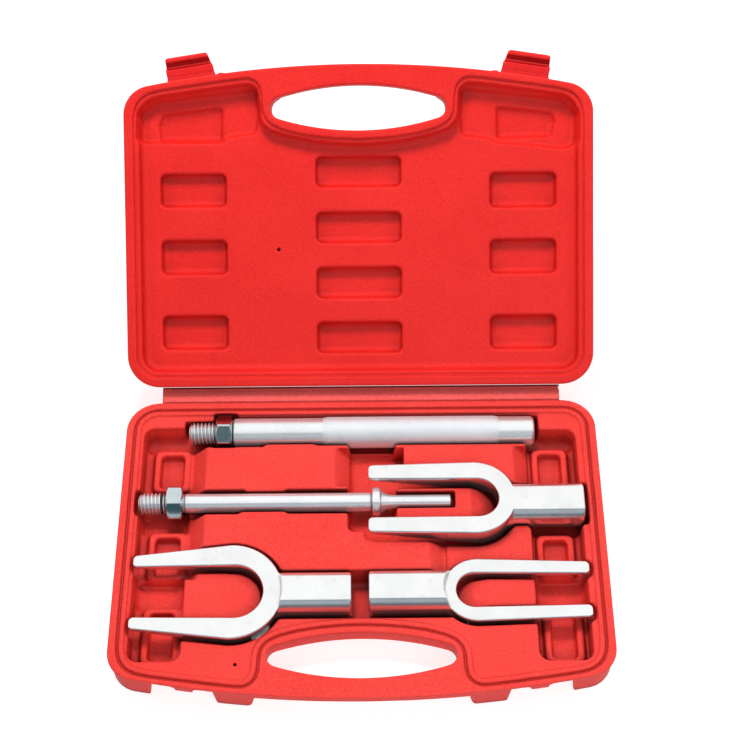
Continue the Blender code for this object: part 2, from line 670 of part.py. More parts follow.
def lid_recesses():
    """The named outlines of the front corner recesses and of all pockets."""
    corners = [(f"lid_corner_{tag[0]}", mirrored(CORNER_RECESS, side)) for tag, side in SIDES]
    pockets = [(f"lid_pocket_c{tag[0]}", mirrored(CORNER_POCKET, side)) for tag, side in SIDES]
    pockets += [(f"lid_pocket_{i}", rectangle(*plan)) for i, plan in enumerate(DECK_POCKETS)]
    return corners, pockets


def build_lid_hollow(corners, pockets):
    core = lid_prism(
        "lid_hollow", case_outline(WALL_IN + SKIN), SKIN, LID_H - SKIN,
        bevel=EDGE_R - SKIN, bevel_top=True,
    )
    deck = deck_outline(LID_DECK_SIDE, DECK_REAR, LID_DECK_FRONT, SKIN)
    boolean(core, lid_prism("lid_deck_wall", deck, -2.0, LID_DECK + SKIN))
    cut_latch_pockets(
        core, SKIN, LID_RIM_Z - 1, LID_RIM_Z + LID_H + 2, LID_LATCH_POCKET, LID_SHIFT
    )
    for name, points in corners:
        # a spread about x = 0 moves all of a corner's points sideways, away from the middle
        outline = rounded(to_xy(spread(points, 0.0, 200.0)), LID_CORNER_R)
        boolean(core, lid_prism(name + "_wall", outline, -1.0, LID_CORNER + SKIN))
    for name, points in pockets:
        centre_x = sum(x for x, _ in points) / 4
        centre_fwd = sum(fwd for _, fwd in points) / 4
        outline = rounded(to_xy(spread(points, centre_x, centre_fwd)), LID_POCKET_R + SKIN)
        boolean(core, lid_prism(name + "_wall", outline, -2.0, LID_H + 1.5))
    half = GRIP_HALF_W + SKIN
    plan = (-half, half, GRIP_FWD - SKIN, CASE_D + 10)
    boolean(core, lid_block("lid_grip_over_wall", *plan, GRIP_T - SKIN, LID_H + 1))
    boolean(core, lid_prism("lid_hole_wall", hole_outline(SKIN), -3.0, LID_H + 3))
    return core


def build_lid():
    lid = lid_prism(
        "case_lid", case_outline(WALL_IN), LID_BODY_LOW, LID_H,
        cutter=False, bevel=EDGE_R, bevel_top=True,
    )
    boolean(lid, lid_prism("lid_rim", case_outline(), 0, FLANGE_T), "UNION")
    rail = (-RAIL_HALF_L, RAIL_HALF_L, 0.02, RAIL_D)
    boolean(lid, lid_block("lid_hinge_rail", *rail, 0.6, 11.8), "UNION")
    cut_latch_pockets(
        lid, 0.0, LID_RIM_Z + FLANGE_T, LID_RIM_Z + LID_H + 1, LID_LATCH_POCKET, LID_SHIFT
    )
    deck = deck_outline(LID_DECK_SIDE, DECK_REAR, LID_DECK_FRONT)
    boolean(lid, lid_prism("lid_deck", deck, -1.0, LID_DECK))
    corners, pockets = lid_recesses()
    for name, points in corners:
        boolean(lid, lid_prism(name, rounded(to_xy(points), LID_CORNER_R), -1.0, LID_CORNER))
    for name, points in pockets:
        boolean(lid, lid_prism(name, rounded(to_xy(points), LID_POCKET_R), -2.0, LID_POCKET))
    plan = (-GRIP_HALF_W, GRIP_HALF_W, GRIP_FWD, CASE_D + 10)
    boolean(lid, lid_block("lid_grip_over", *plan, GRIP_T, LID_H + 1))
    boolean(lid, lid_prism("lid_hand_hole", hole_outline(), -2.0, LID_H + 2))
    boolean(lid, build_lid_hollow(corners, pockets))
    centre = (-62.0, REAR_Y - 104 + LID_SHIFT[1], LID_RIM_Z + LID_DECK + LID_SHIFT[2])
    boolean(lid, cylinder("needle_hole_lid", NEEDLE_R, NEEDLE_DEPTH, 12, centre))
    lid = baked(lid, cutter=False)
    give_material(lid, RED_LID)
    return lid


# ---------------------------------------------------------------- hinge strip and latches
# (y, z) below and in front of the latch's rounded pivot edge, outer face first
LATCH_PROFILE = [
    (-2.4, 1.6), (-3.4, 0.2), (-3.4, -5.0), (-4.0, -6.0), (-4.0, -8.4), (-3.4, -9.4),
    (-3.4, -12.2), (-4.2, -13.6), (-4.2, -17.0), (-3.2, -LATCH_LEN), (2.0, -LATCH_LEN),
    (3.0, -17.0), (3.0, -13.9), (-0.5, -13.9), (-0.5, -1.6),
]


def build_strip():
    """The hinge strip, upright as with the lid shut, its lower fold at the origin."""
    radius = STRIP_T / 2
    profile = arc(0, 0, radius, 180, 360, 6) + arc(0, STRIP_W, radius, 0, 180, 6)
    strip = bar("hinge_strip", clean(profile, 0.01), STRIP_HALF_L)
    give_material(strip, RED_STRIP)
    return strip


def build_latch(tag):
    """A latch hanging shut from its pivot at the origin, its outer face to -Y."""
    latch = bar(f"latch_{tag}", arc(0, 0, 1.6, -90, 90, 4) + LATCH_PROFILE, LATCH_HALF)
    give_material(latch, RED_LATCH[tag])
    return latch


def assemble_cover():
    """Hang the lid on the strip and the latches on the lid; each fold takes half the swing."""
    half_swing = math.radians(OPEN_DEG / 2)
    strip = build_strip()
    strip.location = Vector((0, FOLD_Y, BASE_FOLD_Z)) * MM
    strip.rotation_euler = (-half_swing, 0, 0)
    lid = build_lid()
    lid.parent = strip
    lid.location = Vector((0, 0, STRIP_W)) * MM
    lid.rotation_euler = (-half_swing, 0, 0)
    for tag, side in SIDES:
        latch = build_latch(tag)
        latch.parent = lid
        pivot = Vector((side * LATCH_X, REAR_Y - bow_fwd(LATCH_X), LID_RIM_Z + LATCH_PIVOT_UP))
        latch.location = (pivot + Vector(LID_SHIFT)) * MM
        # turned out about its pivot, then to follow the bowed edge
        lean = Matrix.Rotation(math.asin(LATCH_X / BOW_R) * side, 3, "Z")
        swing = Matrix.Rotation(-math.radians(LATCH_OPEN_DEG), 3, "X")
        latch.rotation_euler = (lean @ swing).to_euler()


# ---------------------------------------------------------------- bars, nuts and ring
def lay_along_x(obj, x, fwd):
    """Lay a piece down so that its local Z runs along +X, on the tools' axis height."""
    obj.rotation_euler = (0, math.pi / 2, 0)
    obj.location = Vector((x, REAR_Y - fwd, AXIS_Z)) * MM


def thread_turns(z_top, z_bottom):
    """Number of turns between two ends and the pitch that fits them exactly."""
    count = int((z_top - z_bottom) / THREAD_PITCH)
    return count, (z_top - z_bottom) / count


def thread_profile(z_top, z_bottom, plain=None):
    """A thread's section as rings; turns that reach into the plain span have no crest."""
    count, pitch = thread_turns(z_top, z_bottom)
    points = []
    for i in range(count):
        z = z_top - i * pitch
        points.append((THREAD_ROOT, z))
        if not (plain and z >= plain[0] and z - pitch <= plain[1]):
            points.append((THREAD_R, z - 0.5 * pitch))
    return points


def build_handle():
    profile = [
        (0, HANDLE_X1), (6.5, HANDLE_X1), (9.4, HANDLE_X1 - 0.9),
        (HANDLE_R - 0.1, HANDLE_X1 - 2.6), (HANDLE_R, HANDLE_X1 - 3.4),
        (HANDLE_R, KNURL_X1 + 0.5), (KNURL_R, KNURL_X1 - 0.3),
        (KNURL_R, KNURL_X0 + 0.3), (HANDLE_R, KNURL_X0 - 0.5),
        (HANDLE_R, HANDLE_SHOULDER + 1.2), (HANDLE_R - 1.2, HANDLE_SHOULDER),
        *thread_profile(HANDLE_SHOULDER - 0.2, HANDLE_X0 + 1.6),
        (THREAD_ROOT, HANDLE_X0 + 1.2), (THREAD_ROOT - 0.8, HANDLE_X0), (0, HANDLE_X0),
    ]
    handle = turned("striking_handle", profile, 24, cutter=False)
    give_material(handle, HANDLE_STEEL)
    lay_along_x(handle, 0, HANDLE_FWD)


def build_adapter():
    profile = [
        # shank, flaring to the collar
        (0, ADAPTER_X1), (SHANK_R - 0.8, ADAPTER_X1), (SHANK_R, ADAPTER_X1 - 0.9),
        (SHANK_R, 23.5), (5.7, 20.4), (7.2, 17.2), (9.0, 14.6),
        (COLLAR_R - 0.7, 14.0), (COLLAR_R, 13.2), (COLLAR_R, 8.8), (COLLAR_R - 0.7, 8.0),
        # body
        (6.0, 8.0), (6.6, 6.6), (ADAPTER_R, 5.0), (ADAPTER_R, -60.0),
        (ADAPTER_R, ADAPTER_SHOULDER + 1.0), (ADAPTER_R - 0.4, ADAPTER_SHOULDER),
        *thread_profile(*ADAPTER_THREAD, plain=(RING_X - 0.2, RING_X + 0.2)),
        (THREAD_ROOT, ADAPTER_X0 + 1.0), (THREAD_ROOT - 0.8, ADAPTER_X0), (0, ADAPTER_X0),
    ]
    adapter = turned("air_hammer_adapter", profile, 20, cutter=False)
    give_material(adapter, ADAPTER_STEEL)
    lay_along_x(adapter, 0, ADAPTER_FWD)


def build_nut(tool, shoulder, fwd, turn_deg):
    """A hexagon nut with chamfered corners, its origin in the middle of the bore."""
    name = f"{tool}_nut"
    corner_r = NUT_ACROSS_FLATS / math.cos(math.radians(30)) / 2
    flat_r = NUT_ACROSS_FLATS / 2
    half = NUT_T / 2
    profile = [
        (NUT_BORE_R + 0.9, half), (flat_r - 0.3, half),
        (corner_r + 0.15, half - 1.25), (corner_r + 0.15, -half + 1.25),
        (flat_r - 0.3, -half), (NUT_BORE_R + 0.9, -half),
        (NUT_BORE_R, -half + 0.9), (NUT_BORE_R, half - 0.9), (NUT_BORE_R + 0.9, half),
    ]
    nut = baked(turned(name + "_ring", profile, 30))
    hexagon = cylinder(name + "_hexagon", corner_r, NUT_T * 2, 6)
    boolean(nut, hexagon, "INTERSECT")
    nut = baked(nut, name, cutter=False)
    discard(hexagon)
    give_material(nut, NUT_STEEL[tool])
    centre = Vector((shoulder - NUT_GAP - NUT_T + half, REAR_Y - fwd, AXIS_Z)) * MM
    turn = Matrix.Rotation(math.radians(turn_deg), 4, "X")
    nut.matrix_world = Matrix.Translation(centre) @ turn @ Matrix.Rotation(math.pi / 2, 4, "Y")
    return nut


def build_ring():
    """The rubber ring, in the middle of a turn of the adapter's thread."""
    top = ADAPTER_THREAD[0]
    _, pitch = thread_turns(*ADAPTER_THREAD)
    turn = int((top - RING_X) / pitch)
    bpy.ops.mesh.primitive_torus_add(
        major_segments=20, minor_segments=6,
        major_radius=RING_R * MM, minor_radius=RING_SECTION_R * MM,
    )
    ring = bpy.context.object
    ring.name = "thread_ring"
    for collection in list(ring.users_collection):
        collection.objects.unlink(ring)
    PARTS.objects.link(ring)
    give_material(ring, RUBBER)
    lay_along_x(ring, top - (turn + 0.5) * pitch, ADAPTER_FWD)
    return ring


# ---------------------------------------------------------------- forks
def build_fork_wedge(name, fork):
    """Cutter under a fork: the underside rises from the yoke to the tips."""
    under = RIM_Z + fork.rise - fork.yoke_t
    slope = (fork.yoke_t - FORK_TIP_T) / abs(fork.tip_x - fork.yoke_x)
    far = fork.tip_x + fork.direction * 6
    far_z = under + slope * abs(far - fork.yoke_x)
    side = [(fork.yoke_x, under), (far, far_z), (far, under - 6), (fork.yoke_x, under - 6)]
    half = 60
    points = [(x, REAR_Y - fork.fwd - half, z) for x, z in side]
    return place_bmesh(extruded(points, (0, 2 * half, 0)), name + "_wedge")


def build_fork_shank(name, fork):
    """The round shank that holds the socket, with a flat above and below."""
    inner_x = fork.yoke_x + fork.direction * 5.0
    length = abs(fork.socket_x - inner_x)
    profile = [
        (0, length), (SOCKET_R - 1.0, length), (SOCKET_R, length - 1.0),
        (SOCKET_R, 4.0), (SOCKET_R - 2.5, 0.0), (0, 0.0),
    ]
    shank = turned(name + "_shank", profile, 28)
    shank.rotation_euler = (0, -fork.direction * math.pi / 2, 0)
    shank.location = Vector((inner_x, REAR_Y - fork.fwd, AXIS_Z)) * MM
    shank = baked(shank)
    x0, x1 = sorted((inner_x, fork.socket_x))
    plan = (x0 - 9, x1 + 9, fork.fwd - 30, fork.fwd + 30)
    for tag, way in (("top", 1), ("bottom", -1)):
        z = AXIS_Z + way * (SOCKET_FLAT + 6)
        flat = block(f"{name}_flat_{tag}", *plan, z - 6, z + 6)
        boolean(shank, flat)
        shank = baked(shank)
        discard(flat)
    return shank


def build_fork_bore(name, fork):
    profile = [
        (0, SOCKET_BORE_L), (SOCKET_BORE_R, SOCKET_BORE_L - 0.2), (SOCKET_BORE_R, 2.0),
        (SOCKET_BORE_R + 1.6, 0.0), (SOCKET_BORE_R + 1.6, -3.0), (0, -3.0),
    ]
    bore = turned(name + "_bore", profile, 20)
    bore.rotation_euler = (0, fork.direction * math.pi / 2, 0)
    bore.location = Vector((fork.socket_x, REAR_Y - fork.fwd, AXIS_Z)) * MM
    return baked(bore)


def build_fork(name, fork):
    """A fork with its origin on the axis, at the socket's free end."""
    top = RIM_Z + fork.rise
    plate = prism(name + "_plate", fork_outline(fork), top - fork.yoke_t, top)
    wedge = build_fork_wedge(name, fork)
    boolean(plate, wedge)
    shank = build_fork_shank(name, fork)
    boolean(plate, shank, "UNION")
    bore = build_fork_bore(name, fork)
    boolean(plate, bore)
    whole = baked(plate, name, cutter=False)
    discard(wedge, shank, bore)
    give_material(whole, FORK_STEEL[name])
    origin = Vector((fork.socket_x, REAR_Y - fork.fwd, AXIS_Z)) * MM
    whole.data.transform(Matrix.Translation(-origin))
    whole.location = origin
    return whole


# ---------------------------------------------------------------- assembly
build_base()
assemble_cover()
build_handle()
build_adapter()
smooth_pieces = [
    build_nut("handle", HANDLE_SHOULDER, HANDLE_FWD, turn_deg=34.0),
    build_nut("adapter", ADAPTER_SHOULDER, ADAPTER_FWD, turn_deg=3.0),
    build_ring(),
    *(build_fork(name, fork) for name, fork in FORKS.items()),
]
for piece in smooth_pieces:
    piece.data.shade_smooth()
    piece.data.set_sharp_from_angle(angle=math.radians(35))
bpy.context.view_layer.update()
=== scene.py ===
"""A front end separator kit: an open red moulded case with two bars, their nuts and three forks.

The base lies on its outer face at z = 0, centred on x = y = 0, with its rim up. Its rear edge is
at +y, where a strip with two folds carries the lid; the bowed front edge is at -y.
The case and forks are built from signed distance fields, negative inside the material.
Builders work in millimetres and the meshes are in metres. Plan positions are (x, fore), where
fore is measured forward from the base's rear rim edge, so y = REAR_Y - fore.
"""

import math
from itertools import product
from typing import NamedTuple

import bmesh
import bpy
import numpy as np
from mathutils import Matrix, Vector


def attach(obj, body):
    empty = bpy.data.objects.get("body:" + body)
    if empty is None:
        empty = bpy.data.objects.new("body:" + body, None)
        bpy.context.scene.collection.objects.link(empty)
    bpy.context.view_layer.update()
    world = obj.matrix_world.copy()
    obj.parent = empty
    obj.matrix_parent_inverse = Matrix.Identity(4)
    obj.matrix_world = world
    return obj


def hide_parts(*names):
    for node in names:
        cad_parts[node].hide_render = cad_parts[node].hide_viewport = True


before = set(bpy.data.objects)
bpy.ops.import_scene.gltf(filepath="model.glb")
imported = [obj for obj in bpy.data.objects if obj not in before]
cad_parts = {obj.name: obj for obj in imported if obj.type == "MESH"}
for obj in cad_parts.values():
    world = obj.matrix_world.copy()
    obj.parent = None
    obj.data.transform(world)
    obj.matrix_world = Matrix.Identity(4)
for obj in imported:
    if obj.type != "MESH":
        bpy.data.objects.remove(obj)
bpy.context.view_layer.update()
MM = 0.001
F32 = np.float32

# ------------------------------------------------------------------ case sizes
CASE_HALF_W = 177.5
CASE_D = 243.2
BASE_H = 27.0
LID_H = 23.0
RIM_GAP = 0.3
REAR_R = 24.0  # rear corners in plan
FRONT_R = 22.0  # front corners in plan
BOW_R = 840.0  # front edge in plan
REAR_Y = CASE_D / 2
RIM_Z = BASE_H
LID_RIM_Z = RIM_Z + RIM_GAP  # with the lid shut
FLANGE_T = 3.3
WALL_IN = 1.8  # wall's setback from the rim edge
BASE_EDGE_R = 3.6
LID_EDGE_R = 11.0
# Depths below the rim plane
GRIP_DEPTH = 13.0
DECK_DEPTH = 2.0
FLOOR_DEPTH = 20.8
BLOCK_DEPTH = 12.0
LID_DECK = 12.0
LID_CORNER = 16.0
LID_POCKET = 20.0
# Hand hole, centred on x = 0: two long shallow arcs joined by small end arcs
HOLE_FORE = 210.6
HOLE_HALF = 17.1
HOLE_END_X = 58.0
HOLE_END_R = 8.3
HOLE_SIDE_R = ((HOLE_END_X**2 + HOLE_HALF**2) - HOLE_END_R**2) / (2 * (HOLE_HALF - HOLE_END_R))
HOLE_SIDE_OFF = HOLE_SIDE_R - HOLE_HALF  # from the hole's middle to the centre of a long arc
# Hinge strip and latches
STRIP_W = 12.4
STRIP_HALF_L = 152.0
FOLD_OUT = 1.1
BASE_FOLD_DEPTH = 2.5
OPEN_DEG = 141.7
LATCH_X = 126.0
LATCH_PIVOT_UP = 5.2
LATCH_LEN = 18.0
LATCH_OPEN_DEG = 100.0

# ------------------------------------------------------------------ tool sizes
AXIS_DEPTH = 5.0  # tool axes below the base's rim plane
AXIS_Z = RIM_Z - AXIS_DEPTH
THREAD_ROOT = 6.45
PITCH = 2.8
NUT_AF = 24.0  # across flats
NUT_T = 12.6
NUT_BORE = 8.3
NUT_GAP = 0.35  # between a nut and the shoulder
HANDLE_FORE = 25.1
HANDLE_X0 = -130.0
HANDLE_SHOULDER = -96.6
KNURL_X0 = -28.0
KNURL_X1 = 103.0
HANDLE_X1 = 131.0
HANDLE_CREST_R = 7.95
HANDLE_R = 11.25
KNURL_R = 11.95
KNURL_COUNT = 52  # grooves around the bar in each direction
KNURL_PITCH = 1.55
KNURL_DEPTH = 0.13
ADAPTER_FORE = 86.0
ADAPTER_X0 = -164.0
ADAPTER_SHOULDER = -130.6
ADAPTER_X1 = 66.0
ADAPTER_CREST_R = 7.8
ADAPTER_R = 7.0
SHANK_R = 5.1
COLLAR_R = 10.75
SOCKET_R = 16.0
SOCKET_FLAT = 13.2  # half height across the flats above and below a fork's shank
SOCKET_BORE_R = 7.1
SOCKET_BORE_L = 34.0

# The rubber ring sits between two of a whole number of equal turns, 5.5 turns from the shoulder
RING_FROM = ADAPTER_SHOULDER - 0.2
RING_SPAN = RING_FROM - (ADAPTER_X0 + 1.4)
RING_PITCH = RING_SPAN / int(RING_SPAN / PITCH)
RING_X = RING_FROM - (int((RING_FROM + 147.0) / RING_PITCH) + 0.5) * RING_PITCH


class Fork(NamedTuple):
    points: int  # the tips point along x this way
    tip_x: float
    yoke_x: float  # outside of the yoke, where the shank begins
    gap_x: float  # closed end of the gap
    fore: float
    yoke_half: float
    tip_half: float  # half width over both tips
    gap_half: float
    gap_tip_half: float
    top: float  # height above the rim plane
    yoke_t: float
    tip_t: float
    shank_x: float  # the shank's free end
    tip_round: float


FORKS = {
    "ball_joint_fork": Fork(
        points=-1, tip_x=5.0, yoke_x=113.0, gap_x=100.5, fore=90.0, yoke_half=30.1,
        tip_half=28.3, gap_half=15.5, gap_tip_half=15.9, top=8.6, yoke_t=24.0, tip_t=5.0,
        shank_x=163.5, tip_round=4.0,
    ),
    "pitman_arm_fork": Fork(
        points=-1, tip_x=-164.0, yoke_x=-56.0, gap_x=-70.0, fore=162.0, yoke_half=37.3,
        tip_half=29.4, gap_half=20.4, gap_tip_half=19.6, top=3.0, yoke_t=16.0, tip_t=5.0,
        shank_x=-7.0, tip_round=4.2,
    ),
    "tie_rod_fork": Fork(
        points=1, tip_x=163.6, yoke_x=58.0, gap_x=67.5, fore=161.2, yoke_half=24.8,
        tip_half=22.2, gap_half=13.2, gap_tip_half=12.1, top=0.6, yoke_t=11.6, tip_t=5.0,
        shank_x=5.0, tip_round=4.2,
    ),
}

# Sampling of the fields, and the triangles kept afterwards
CASE_STEP = 0.8
FORK_STEP = 0.5
CASE_GRID_X = 180.3
CASE_GRID_Y = 124.3
CASE_TRIANGLES = 190000
FORK_TRIANGLES = 120000

# ------------------------------------------------------------------ measured tables
# Right half of the groove line (x, fore), from its straight side to near the middle
GROOVE_RIGHT = [
    (171.0, 60), (171.0, 120), (171.0, 180), (171.0, 200), (170.7, 205), (169.8, 210),
    (168.1, 214.6), (165.4, 218.3), (161.9, 221.2), (158.0, 223.1), (154.0, 224.3), (147, 225.7),
    (140, 226.7), (130, 228.2), (118, 229.8), (105, 231.6), (92, 233.2), (86, 233.8), (82, 233.7),
    (78.8, 232.6), (75.8, 230.3), (73.6, 227.0), (72.5, 223), (72.0, 218), (71.8, 212),
    (71.2, 207.8), (69.8, 204.2), (67.4, 201.0), (64, 198.4), (58, 195.6), (45, 192),
    (30, 189.6), (15, 188.2),
]
# Raised pads on the base deck: x from, x to, fore from, fore to, depth
BASE_PADS = [
    (-127.0, -8.0, 36.5, 80.0, 0.5),
    (-127.0, 60.0, 93.0, 150.0, 0.2),
    (24.0, 124.5, 36.5, 110.0, 0.5),
]
# Outlines of the long pockets (x, fore)
HANDLE_POCKET = [
    (-133.5, 15.4), (-111.2, 15.4), (-111.2, 10.3), (-94.8, 10.3), (-92.8, 12.5), (134.2, 12.5),
    (134.2, 38.6), (-33.0, 38.6), (-36.0, 37.2), (-71.0, 37.2), (-74.0, 39.4), (-133.5, 39.4),
]
ADAPTER_POCKET = [
    (-128.0, 76.6), (-87.0, 76.6), (-84.0, 78.2), (-58.0, 78.2), (-55.0, 76.6), (-8.0, 76.6),
    (-8.0, 97.4), (-53.0, 97.4), (-57.0, 95.6), (-87.0, 95.6), (-91.0, 97.4), (-128.0, 97.4),
]
FORK_POCKET_DEPTHS = {"ball_joint_fork": 16.6, "pitman_arm_fork": 14.2, "tie_rod_fork": 12.2}
# Sloping ends of pads and islands: x and depth at the upper end, x and depth further down,
# fore from, fore to, how far the cut runs on past the lower end
TO_TROUGH = 40  # this run-on takes the slope down to a trough's floor
BASE_SLOPES = [
    (-115.2, 0.5, -129.0, 16.0, 33, 82, TO_TROUGH),
    (-20.0, 0.5, -8.2, 13.4, 41.5, 74.8, TO_TROUGH),
    (-114.0, 0.2, -129.0, 15.7, 91.5, 148.7, TO_TROUGH),
    (49.0, 0.2, 59.0, 7.9, 112, 149.5, 2.5),
    (113.0, 0.5, 126.0, 14.0, 41, 71.8, TO_TROUGH),
    (91.0, 4.6, 66.0, 13.2, 148, 174.5, 3),
    (-103.0, 4.5, -70.0, 9.0, 138.8, 185.2, 3),
    (82.0, 1.6, 99.0, 12.7, 75.6, 104.4, 3),
]
# Hollow blocks in the side troughs: x from, x to, fore from, fore to
BASE_BLOCKS = [
    (-155.8, -128.6, 35.9, 71.4), (-155.8, -128.0, 106.6, 144.6), (-155.8, -128.4, 168.0, 211.6),
    (128.4, 155.2, 37.3, 72.6), (128.0, 155.2, 111.2, 144.6), (129.2, 156.8, 168.0, 212.4),
]
# Sunk areas at the lid's front corners (x, fore)
LID_CORNER_AREAS = [
    [
        (-166.5, 185.4), (-103.6, 184.8), (-99.4, 188.6), (-77.2, 191.9), (-75.6, 208.0),
        (-78.0, 226.5), (-119.0, 221.6), (-154.0, 217.0), (-165.4, 209.0),
    ],
    [
        (76.8, 189.4), (99.5, 186.4), (105.5, 182.9), (127.0, 181.7), (150.0, 179.0),
        (159.0, 178.6), (165.4, 183.0), (165.6, 206.0), (155.0, 216.6), (119.0, 221.4),
        (78.0, 226.0),
    ],
]
# The deeper pocket within each of them (x, fore)
LID_CORNER_POCKETS = [
    [
        (-152.4, 186.6), (-103.2, 186.0), (-102.4, 211.8), (-107.0, 213.8), (-150.0, 208.6),
        (-153.6, 199.0),
    ],
    [(104.4, 186.4), (147.8, 187.6), (151.6, 200.4), (148.4, 208.0), (104.2, 213.0)],
]
# Rectangular lid pockets: x from, x to, fore from, fore to
LID_POCKETS = [
    (-152.0, -101.0, 136.6, 162.6), (-152.0, -101.0, 85.0, 112.0), (-152.0, -101.0, 27.5, 54.2),
    (-33.5, 32.5, 151.0, 175.2), (-33.5, 32.5, 108.5, 132.8), (-33.5, 32.5, 66.0, 90.6),
    (-33.5, 32.5, 24.0, 48.6), (99.5, 151.0, 134.5, 162.0), (99.5, 151.0, 84.0, 111.0),
    (99.5, 151.0, 26.0, 52.8),
]
# Latch section (y, z) after the round at its pivot: down one face, then back up the other
LATCH_SECTION = [
    (-1.2, 1.4), (-2.4, 1.2), (-3.1, 0.4), (-3.3, -0.8), (-3.0, -1.8), (-2.9, -3.0),
    (-3.2, -4.4), (-3.8, -5.4), (-4.3, -6.4), (-4.4, -7.6), (-4.0, -8.8), (-3.3, -9.6),
    (-3.0, -10.4), (-3.0, -11.6), (-3.4, -12.6), (-4.1, -13.4), (-4.6, -14.6), (-4.6, -16.2),
    (-4.1, -17.3), (-3.2, -17.9), (-2.4, -LATCH_LEN),
    (1.4, -LATCH_LEN), (2.4, -17.6), (2.95, -16.8), (3.0, -15.0), (2.6, -14.3), (1.8, -13.95),
    (0.2, -13.9), (-1.1, -13.5), (-1.8, -12.6), (-1.5, -11.9), (-1.3, -11.1), (-1.5, -10.5),
    (-1.9, -10.1), (-1.5, -9.6), (-0.6, -9.1), (-0.35, -8.5), (-0.45, -7.8), (-0.8, -6.0),
    (-1.1, -4.2), (-1.5, -3.2), (-1.4, -2.4), (-0.6, -1.6),
]
# Latch half width by height: z, half width
LATCH_WIDTHS = [
    (-LATCH_LEN, 15.3), (-17.2, 16.2), (-14.4, 16.4), (-13.7, 16.7), (-10.4, 17.1),
    (-8.7, 18.0), (-5.0, 17.8), (-2.2, 18.2), (1.5, 18.6),
]
# Handle: step past the shoulder, radius below the bar's
HANDLE_SHOULDER_STEPS = [
    (0, 1.3), (0.2, 0.95), (0.8, 0.4), (1.3, 0.1), (1.8, 0),
]
# Handle: distance before the struck end, radius below the bar's
HANDLE_END_STEPS = [
    (3.2, 0.03), (2.3, 0.25), (1.5, 0.75), (0.8, 1.6), (0.25, 2.9), (0, 4.4),
]
# Adapter collar: x, radius below the collar's
COLLAR_STEPS = [
    (8.0, 1.3), (8.15, 0.8), (8.5, 0.3), (9.0, 0.06), (9.6, 0), (12.4, 0), (13.0, 0.06),
    (13.5, 0.3), (13.85, 0.8), (14.0, 1.3),
]


# ------------------------------------------------------------------ outlines
def arc(centre_x, centre_y, radius, start, end, steps):
    points = []
    for i in range(steps + 1):
        angle = math.radians(start + (end - start) * i / steps)
        points.append((centre_x + radius * math.cos(angle), centre_y + radius * math.sin(angle)))
    return points


def to_xy(points):
    return [(x, REAR_Y - fore) for x, fore in points]


def mirrored(points):
    """The points across x = 0, in reverse, to close an outline begun on the right."""
    return [(-x, fore) for x, fore in reversed(points)]


def clean(points, least=0.02):
    """The closed outline without points nearer than `least` to the one before."""
    kept = []
    for point in points:
        if not kept or math.dist(point, kept[-1]) > least:
            kept.append(point)
    if math.dist(kept[0], kept[-1]) <= least:
        kept.pop()
    return kept


def case_outline(inset):
    bow_centre = CASE_D - BOW_R
    front_x = CASE_HALF_W - FRONT_R
    front_fore = bow_centre + math.sqrt((BOW_R - FRONT_R) ** 2 - front_x**2)
    bow_half = math.degrees(math.atan2(front_x, front_fore - bow_centre))
    rear_r = REAR_R - inset
    front_r = FRONT_R - inset
    rear_x = CASE_HALF_W - inset - rear_r
    points = arc(rear_x, inset + rear_r, rear_r, -90, 0, 14)
    points += arc(front_x, front_fore, front_r, 0, 90 - bow_half, 14)
    points += arc(0, bow_centre, BOW_R - inset, 90 - bow_half, 90 + bow_half, 40)
    points += arc(-front_x, front_fore, front_r, 90 + bow_half, 180, 14)
    points += arc(-rear_x, inset + rear_r, rear_r, 180, 270, 14)
    return clean(to_xy(points))


def bow_fore(x, inset=0.0):
    """Where the bowed front edge, set in by inset, crosses x."""
    return CASE_D - BOW_R + math.sqrt((BOW_R - inset) ** 2 - x * x)


def hole_outline():
    half = math.degrees(math.atan2(HOLE_END_X, HOLE_SIDE_OFF))
    points = arc(0, HOLE_FORE + HOLE_SIDE_OFF, HOLE_SIDE_R, -90 - half, -90 + half, 30)
    points += arc(HOLE_END_X, HOLE_FORE, HOLE_END_R, -90 + half, 90 - half, 10)
    points += arc(0, HOLE_FORE - HOLE_SIDE_OFF, HOLE_SIDE_R, 90 - half, 90 + half, 30)
    points += arc(-HOLE_END_X, HOLE_FORE, HOLE_END_R, 90 + half, 270 - half, 10)
    return clean(to_xy(points))


def groove_outline():
    """The groove inside the rim: parallel to the edge, and behind the hand hole."""
    right = arc(153.5, 24.0, 17.5, -90, 0, 12) + GROOVE_RIGHT
    return clean(to_xy(right + [(0, 187.7)] + mirrored(right)), 0.3)


def round_corners(outline, reach):
    """Turns each corner sharper than 12 degrees into an arc that starts `reach` / tan before it."""
    points = []
    for i, corner in enumerate(outline):
        corner = Vector(corner)
        to_last = Vector(outline[i - 1]) - corner
        to_next = Vector(outline[(i + 1) % len(outline)]) - corner
        between_sides = to_last.angle(to_next)
        if abs(180 - math.degrees(between_sides)) <= 12.0:
            points.append((corner.x, corner.y))
            continue
        half = between_sides / 2
        back = min(reach / math.tan(half), 0.47 * to_last.length, 0.47 * to_next.length)
        radius = back * math.tan(half)
        start = corner + to_last.normalized() * back
        end = corner + to_next.normalized() * back
        middle = (to_last.normalized() + to_next.normalized()).normalized()
        centre = corner + middle * (radius / math.sin(half))
        first = math.atan2(start.y - centre.y, start.x - centre.x)
        last = math.atan2(end.y - centre.y, end.x - centre.x)
        sweep = (last - first + math.pi) % math.tau - math.pi
        for j in range(11):
            angle = first + sweep * j / 10
            x = centre.x + radius * math.cos(angle)
            points.append((x, centre.y + radius * math.sin(angle)))
    return clean(points)


